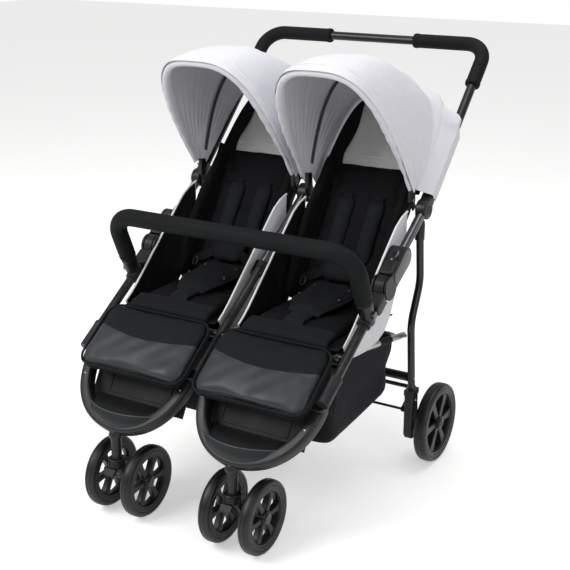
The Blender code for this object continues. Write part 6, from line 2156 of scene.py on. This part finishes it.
    def rear(self) -> None:
        """Build the rear legs, their lugs and the rear cross tube with its centre post."""
        hub = PLAN.hub
        for side, sign in SIDES:
            x, out = sign * self.leg_x, Vector((sign, 0.0, 0.0))
            leg = rod("leg", self.leg_points(x), self.leg_radius, "paint", 0.09, 32)
            outline = spin_arc(hub, 0.015, 0.0, math.pi)
            outline += [(hub[0] - 0.004, hub[1] - 0.080), (hub[0] + 0.012, hub[1] - 0.080)]
            lug = plate("lug", outline, sign * (self.leg_x - 0.0071), sign * (PLAN.side_x - 0.0135), "plastic", 0.0008)
            cap = lathe("cap", [(0.0, 0.0), (0.0, 0.0116), (0.002, 0.0122), (0.040, 0.0122), (0.048, 0.0108),
                                (0.0515, 0.0070), (0.0525, 0.0)], (x, hub[0] + 0.0035, hub[1] - 0.079), "plastic", 40,
                        UP)
            tab = plate("tab", [(0.092, 0.402), (0.088, 0.386), (0.097, 0.384), (0.106, 0.398)], x - 0.003, x + 0.003,
                        "paint", 0.0008)
            assemble(f"rear_leg_set_{side}", [leg, lug, cap, tab], Body.REAR, f"rear_leg_{side}")
            spots = [(Vector((x + sign * 0.0093, y, z)), out) for y, z in ((0.1105, 0.330), (0.1165, 0.252))]
            put(Fasteners.screws(f"leg_bolts_{side}", spots, 0.0030), Body.REAR)
        bar = (0.121, 0.250)
        cross = rod("cross", [(-0.3122, *bar), (0.3122, *bar)], PLAN.tube_radius, "paint", sides=36)
        post = rod("post", self.leg_points(0.0)[:-1] + [(0.0, *bar)], self.leg_radius, "paint", 0.09, 32)
        fork = self.cheeks(0.0, 0.0135, hub, -math.pi / 2, 0.072, 0.010, "paint")
        assemble("rear_cross_set", [cross, post, *fork], Body.REAR, "rear_cross_tube")

    def crossing(self) -> None:
        """Build the front cross tube, the seat support tube and the basket's rim."""
        y, z = PLAN.cross
        put(rod("front_cross_smooth", [(-0.3202, y, z), (0.3202, y, z)], 0.0095, "paint", sides=32), Body.FRAME,
            "front_cross_tube")
        put(rod("seat_support_smooth", [(-0.2917, 0.002, 0.4327), (0.2917, 0.002, 0.4327)], 0.0080, "paint",
                sides=28), Body.LINK, "seat_support_tube")
        x, rear = PLAN.rim_x, PLAN.rim_rear
        first = (y + 0.021, PLAN.rim_z(y + 0.021))
        pieces = [sweep("rim", rounded([(x, *first), (x, *rear), (-x, *rear), (-x, *first)], 0.030, 12),
                        ring_section(PLAN.rim_radius, 32), "silver")]
        for edge in (-1.0, 1.0):
            ends = [(edge * x, end, PLAN.rim_z(end)) for end in (0.030, 0.110)]
            pieces.append(rod("rim_end", ends, 0.0079, "silver"))
            pieces.append(lathe("rim_stud", [(0.0, 0.0), (0.0, 0.0042), (0.0030, 0.0042), (0.0032, 0.0)],
                                (edge * 0.3078, 0.103, PLAN.rim_z(0.103)), "steel", 20, Vector((edge, 0.0, 0.0))))
        assemble("basket_rim_set", pieces, Body.LINK, "basket_rim")

    def build(self) -> None:
        """Build all tubes."""
        self.handle()
        self.bumper()
        self.side_tubes()
        self.rear()
        self.crossing()


@dataclass
class FoldJoint(Sided):
    """Plastic parts of one fold joint: knuckle, sliding latch and hub, with their raised details."""

    def lower_frame(self, reach: float, lift: float) -> tuple[float, float]:
        """Return a (y, z) point in the frame of the lower tube's line."""
        point = PLAN.on_lower(0.0, reach, lift)
        return point.y, point.z

    def knuckle(self) -> None:
        """Build the knuckle's wide foot and tongue, with rows of small dots."""
        x = self.tube_x
        back = PLAN.lower_pitch + math.pi
        notch = 0.0285 + 0.004
        spread = math.asin(0.0145 / notch)
        outline = spin_arc(PLAN.fold, notch, back - spread, back + spread)
        outline += [self.lower_frame(*spot) for spot in ((-0.062, -0.0145), (-0.069, -0.0133), (-0.0740, -0.0105),
                                                         (-0.0750, -0.006), (-0.0750, 0.006), (-0.0740, 0.0105),
                                                         (-0.069, 0.0133), (-0.062, 0.0145))]
        foot = plate("foot", outline, x - 0.020, x + 0.020, "plastic", 0.0030)
        disc = lathe("disc", [(-0.0118, 0.0), (-0.0118, 0.0275), (-0.0108, 0.0285), (0.0108, 0.0285), (0.0118, 0.0275),
                              (0.0118, 0.0)], (x, *PLAN.fold), "plastic", 64)
        neck = plate("neck", [self.lower_frame(*spot) for spot in ((-0.0405, -0.012), (-0.0405, 0.012), (0.0, 0.012),
                                                                   (0.0, -0.012))], x - 0.0118, x + 0.0118, "plastic")
        assemble(f"fold_knuckle_set_{self.side}", [foot, disc, neck], Body.FRAME, f"fold_knuckle_{self.side}")
        spots = []
        for row in range(7):
            reach = -0.041 - row * 0.0042
            spots += [(PLAN.on_lower(x + column * 0.006, reach, 0.0145), PLAN.lower_up) for column in (-1, 0, 1)]
            spots.append((PLAN.on_lower(x + self.sign * 0.020, reach, 0.004), self.out))
        put(Fasteners.dots(f"knuckle_dots_{self.side}", spots, 0.0012, "shell"), Body.FRAME)

    def latch(self) -> None:
        """Add the glossy top plate, oval button, a lighter edge line that is a painted highlight, and dots to the
        sliding latch.
        """
        x, up, along = self.tube_x, PLAN.lower_up, PLAN.lower_axis
        centre = PLAN.on_lower(x, 0.080, 0.0242)
        button = lathe("button", [(-0.002, 0.0), (-0.002, 0.0110), (0.0010, 0.0108), (0.0024, 0.0090), (0.0031, 0.0050),
                                  (0.0033, 0.0)], centre, "gloss", 44, up)
        collar = lathe("collar", [(-0.001, 0.0112), (-0.001, 0.0128), (0.0010, 0.0126), (0.0010, 0.0112)], centre,
                       "shell", 44, up)
        for piece in (button, collar):
            for vertex in piece.data.vertices:
                offset = vertex.co - centre
                vertex.co += along * offset.dot(along) * 0.55
        pieces = [button, collar]
        skin = [*arc((0.0955, 0.0), 0.0215, math.pi / 2, -math.pi / 2, 24), (0.030, -0.0165), (0.022, -0.006),
                (0.022, 0.006), (0.030, 0.0165)]
        for edge in (-1.0, 1.0):
            pieces.append(plate("cheek", [self.lower_frame(*spot) for spot in skin], x + edge * 0.0197,
                                x + edge * 0.0213, "gloss", 0.0007))
        outline = [self.lower_frame(*spot) for spot in ((0.0260, 0.0190), (0.0285, 0.0218), (0.0640, 0.0246),
                                                        (0.0640, 0.0205), (0.0290, 0.0175))]
        pieces.append(plate("cover", outline, x - 0.0150, x + 0.0150, "gloss", 0.0006))
        # Painted highlight: a thin cord of lighter plastic across the cover's front edge.
        line = [PLAN.on_lower(x + part * 0.0150, 0.0290, 0.0222) for part in (-1.0, -0.5, 0.0, 0.5, 1.0)]
        pieces.append(sweep("edge_line", line, ring_section(0.0009, 8), "edge"))
        assemble(f"latch_trim_{self.side}", pieces, f"fold_latch_{self.side}")
        spots = [(PLAN.on_lower(x + self.sign * 0.0212, 0.040 + row * 0.006, -0.008), self.out) for row in range(6)]
        put(Fasteners.dots(f"latch_dots_{self.side}", spots, 0.0013, "shell"), f"fold_latch_{self.side}")

    def hub(self) -> None:
        """Build the hub at the top of the bright tube, with its screw and rim."""
        x = self.tube_x
        hub, pitch = PLAN.hub, PLAN.handle_pitch
        outline = spin_arc(hub, 0.0240, pitch + 0.62, pitch + math.tau - 0.62)
        for reach, lift in ((0.034, -0.0132), (0.045, -0.0130), (0.045, 0.0130), (0.034, 0.0132)):
            point = PLAN.on_handle(0.0, reach, lift)
            outline.append((point.y, point.z))
        body = plate("body", outline, x - 0.013, x + 0.013, "plastic", 0.0030)
        rim = lathe("rim", [(0.0125, 0.0125), (0.0125, 0.0165), (0.0140, 0.0160), (0.0140, 0.0130)], (x, *hub), "shell",
                    48, self.out)
        cap = lathe("cap", [(0.0120, 0.0), (0.0120, 0.0100), (0.0138, 0.0094), (0.0143, 0.0)], (x, *hub), "dull", 40,
                    self.out)
        assemble(f"hub_set_{self.side}", [body, rim, cap], Body.UPPER, f"hub_{self.side}")
        spots = [(PLAN.on_handle(x + self.sign * 0.013, 0.036, 0.0), self.out)]
        put(Fasteners.screws(f"hub_screw_{self.side}", spots, 0.0036), Body.UPPER)

    def build(self) -> None:
        """Build the joint's parts."""
        self.knuckle()
        self.latch()
        self.hub()


@dataclass
class FrontModule(Sided):
    """Moulded front module: smooth arms, footrest ledge with ribs, recessed panel and boss."""

    low: tuple[float, float] = (-0.468, 0.217)
    band: float = 0.015
    thick: float = 0.017
    rise: float = 0.122
    ledge_z: float = 0.266
    ledge_half: float = 0.112
    ledge_rear: float = -0.385

    def path(self) -> list[Vector]:
        """Return the middle line of the U-shaped arms, from the inner end to the outer one."""
        points = [self.arm_point(self.sign * (-1.0 + 2.0 * step / 64)) for step in range(65)]
        top = (self.low[0] + self.rise - 0.003, self.low[1] + self.rise + self.band)
        return [Vector((points[0].x, *top))] + points + [Vector((points[-1].x, *top))]

    def arms(self) -> bpy.types.Object:
        """Return the rounded arms."""
        section = soft_section(self.band, self.thick * 0.98, 0.55, 32)
        return sweep("arms", self.path(), section, "shell", up=Vector((0.0, -1.0, 1.0)).normalized())

    def edge(self, part: float) -> tuple[float, float]:
        """Return (x offset, y) of the ledge's front edge."""
        end, front = self.low[0] + 0.042, self.low[0] + 0.001
        return self.ledge_half * part, end + (front - end) * (1 - part ** 2)

    def ledge(self) -> list[bpy.types.Object]:
        """Return the footrest ledge, its front line, whose lighter colour is a painted highlight, and the bowl below
        it; the ribs are made apart.
        """
        x = self.centre

        def top(u: float, v: float) -> Vector:
            dx, y = self.edge(2 * u - 1)
            lip = 0.0022 * math.exp(-((v - 0.05) / 0.05) ** 2)
            return Vector((x + dx, y + (self.ledge_rear - y) * v, self.ledge_z + lip))

        def bottom(u: float, v: float) -> Vector:
            dx, _ = self.edge(2 * u - 1)
            near = Vector((x + dx * 0.86, self.low[0] + self.band * 1.5 + 2.5 * dx ** 2,
                           self.low[1] + self.band * 0.4 + 2.5 * dx ** 2))
            far = Vector((x + dx, self.ledge_rear, self.ledge_z - 0.010))
            return near.lerp(far, v)

        slab = closed_slab("ledge", 32, 16, top, bottom, "dull", 40.0)
        # Painted highlight: a thin cord of lighter plastic along the ledge's front edge, where a highlight shows.
        line = [top(i / 48, 0.0) + Vector((0.0, -0.0006, 0.0018)) for i in range(49)]
        bright = sweep("front_line", line, ring_section(0.0015, 10), "edge")
        return [slab, bright, self.bowl()]

    def arm_point(self, part: float) -> Vector:
        """Return the arms' middle line at a part of the way from the low point, -1 to 1."""
        reach = 0.155 if part * self.sign > 0 else PLAN.seat_x - PLAN.tube_radius - 0.0003 - self.band
        spread = math.sin(abs(part) * math.pi / 2) * 0.82 + abs(part) * 0.18
        up = self.rise * part ** 2 + self.band * (1 - part ** 2) * math.sqrt(0.5)
        x = self.centre + math.copysign(reach * spread, part)
        return Vector((x, self.low[0] + up, self.low[1] + up))

    def bowl(self) -> bpy.types.Object:
        """Return the bulging lip between the ledge's front edge and the arms."""
        x = self.centre

        def outer(u: float, v: float) -> Vector:
            part = 2 * u - 1
            dx, y = self.edge(part)
            high = Vector((x + dx, y - 0.0006, self.ledge_z + 0.0006))
            low = self.arm_point(part * 0.57) + Vector((0.0, -0.0085, -0.0020))
            bulge = 0.0075 * math.sin(math.pi * v) * (1 - part ** 2) ** 0.6
            return high.lerp(low, v) + Vector((0.0, -bulge, -bulge * 0.35))

        def inner(u: float, v: float) -> Vector:
            return outer(u, v) + Vector((0.0, 0.0060, 0.0))

        return closed_slab("bowl", 40, 14, outer, inner, "shell", 50.0)

    def ribs(self) -> bpy.types.Object:
        """Return the fine ribs of the ledge's tread, as copies of one bar."""
        x = self.centre
        bar = box("bar", (-0.0012, -0.0200, -0.0006), (0.0012, 0.0200, 0.0010), "dull", 0.0004)
        spots = []
        for number in range(27):
            dx = (number - 13) * 0.0073
            _, y = self.edge(dx / self.ledge_half)
            middle = (max(y + 0.012, self.low[0] + 0.012) + self.ledge_rear) / 2
            spots.append((Vector((x + dx, middle, self.ledge_z)), UP))
        return Fasteners.place(f"ledge_ribs_{self.side}", bar, spots, "dull")

    def panel(self) -> list[bpy.types.Object]:
        """Return the sloping panel with its raised frame."""
        x = self.centre
        high = (self.low[0] + 0.123, self.low[1] + 0.118)
        pitch = math.atan2(high[1] - self.ledge_z, high[0] - self.ledge_rear)
        length = math.hypot(high[1] - self.ledge_z, high[0] - self.ledge_rear)
        about = Vector((0.0, self.ledge_rear, self.ledge_z))
        turn = Matrix.Translation(about) @ Matrix.Rotation(pitch, 4, "X") @ Matrix.Translation(-about)
        wide = self.ledge_half + 0.024
        face = self.ledge_z - 0.006
        rear, bar = self.ledge_rear, 0.004
        pieces = [box("panel", (x - wide, rear - 0.012, face - 0.005), (x + wide, rear + length, face), "dull",
                      0.0015, turn)]
        left, right, near, far = x - 0.090, x + 0.090, rear + 0.008, rear + length - 0.010
        for low_x, high_x, low_y, high_y in ((left, right, near, near + bar), (left, right, far - bar, far),
                                             (left, left + bar, near, far), (right - bar, right, near, far)):
            pieces.append(box("frame", (low_x, low_y, face - 0.001), (high_x, high_y, face + 0.0022), "dull", 0.0008,
                              turn))
        return pieces

    def build(self) -> None:
        """Build the module and hang it on the frame."""
        boss = lathe("boss", [(0.0, 0.0), (0.0, 0.0158), (0.0015, 0.0168), (0.010, 0.0168), (0.020, 0.0120),
                              (0.030, 0.0)], (self.centre, self.low[0] + 0.005, self.low[1] - 0.012), "shell", 48, UP)
        tip = PLAN.on_lower(self.tube_x, -PLAN.lower_reach - 0.006)
        sleeve = lathe("sleeve", [(0.0, 0.0), (0.0, 0.0135), (0.002, 0.0150), (0.064, 0.0150), (0.066, 0.0156),
                                  (0.074, 0.0156), (0.0755, 0.0145), (0.0757, 0.0118), (0.010, 0.0118), (0.010, 0.0)],
                       tip, "shell", 44, PLAN.lower_axis)
        assemble(f"front_module_set_{self.side}", [self.arms(), *self.ledge(), *self.panel(), boss, sleeve],
                 Body.FRAME, f"front_module_{self.side}")
        put(self.ribs(), Body.FRAME)
        out = Vector((0.0, -math.sqrt(0.5), math.sqrt(0.5)))
        path = self.path()
        spots = [(path[i] + out * self.thick * 0.97, out) for i in (5, 59)]
        put(Fasteners.screws(f"module_screws_{self.side}", spots, 0.0024, "silver"), Body.FRAME)


def dress_cad_nodes() -> None:
    """Give the CAD nodes their finish; fold latches and swivel locks are the ones that still show."""
    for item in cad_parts.values():
        item.data.materials.clear()
        item.data.materials.append(Palette.get("plastic"))


def main() -> None:
    """Build the whole scene in order."""
    studio = Studio()
    studio.camera()
    studio.floor()
    studio.light()
    dress_cad_nodes()
    for side, sign in SIDES:
        Canopy(side, sign).build()
        CalfRest(side, sign).build()
        Seat(side, sign).build()
        SidePanel(side, sign, "outer", 0.3093).build()
        SidePanel(side, sign, "inner", 0.0270).build()
        FoldJoint(side, sign).build()
        FrontModule(side, sign).build()
    Basket().build()
    Running().build()
    Tubes().build()


if __name__ == "__main__":
    logging.basicConfig(level=logging.INFO, format="%(message)s")
    main()
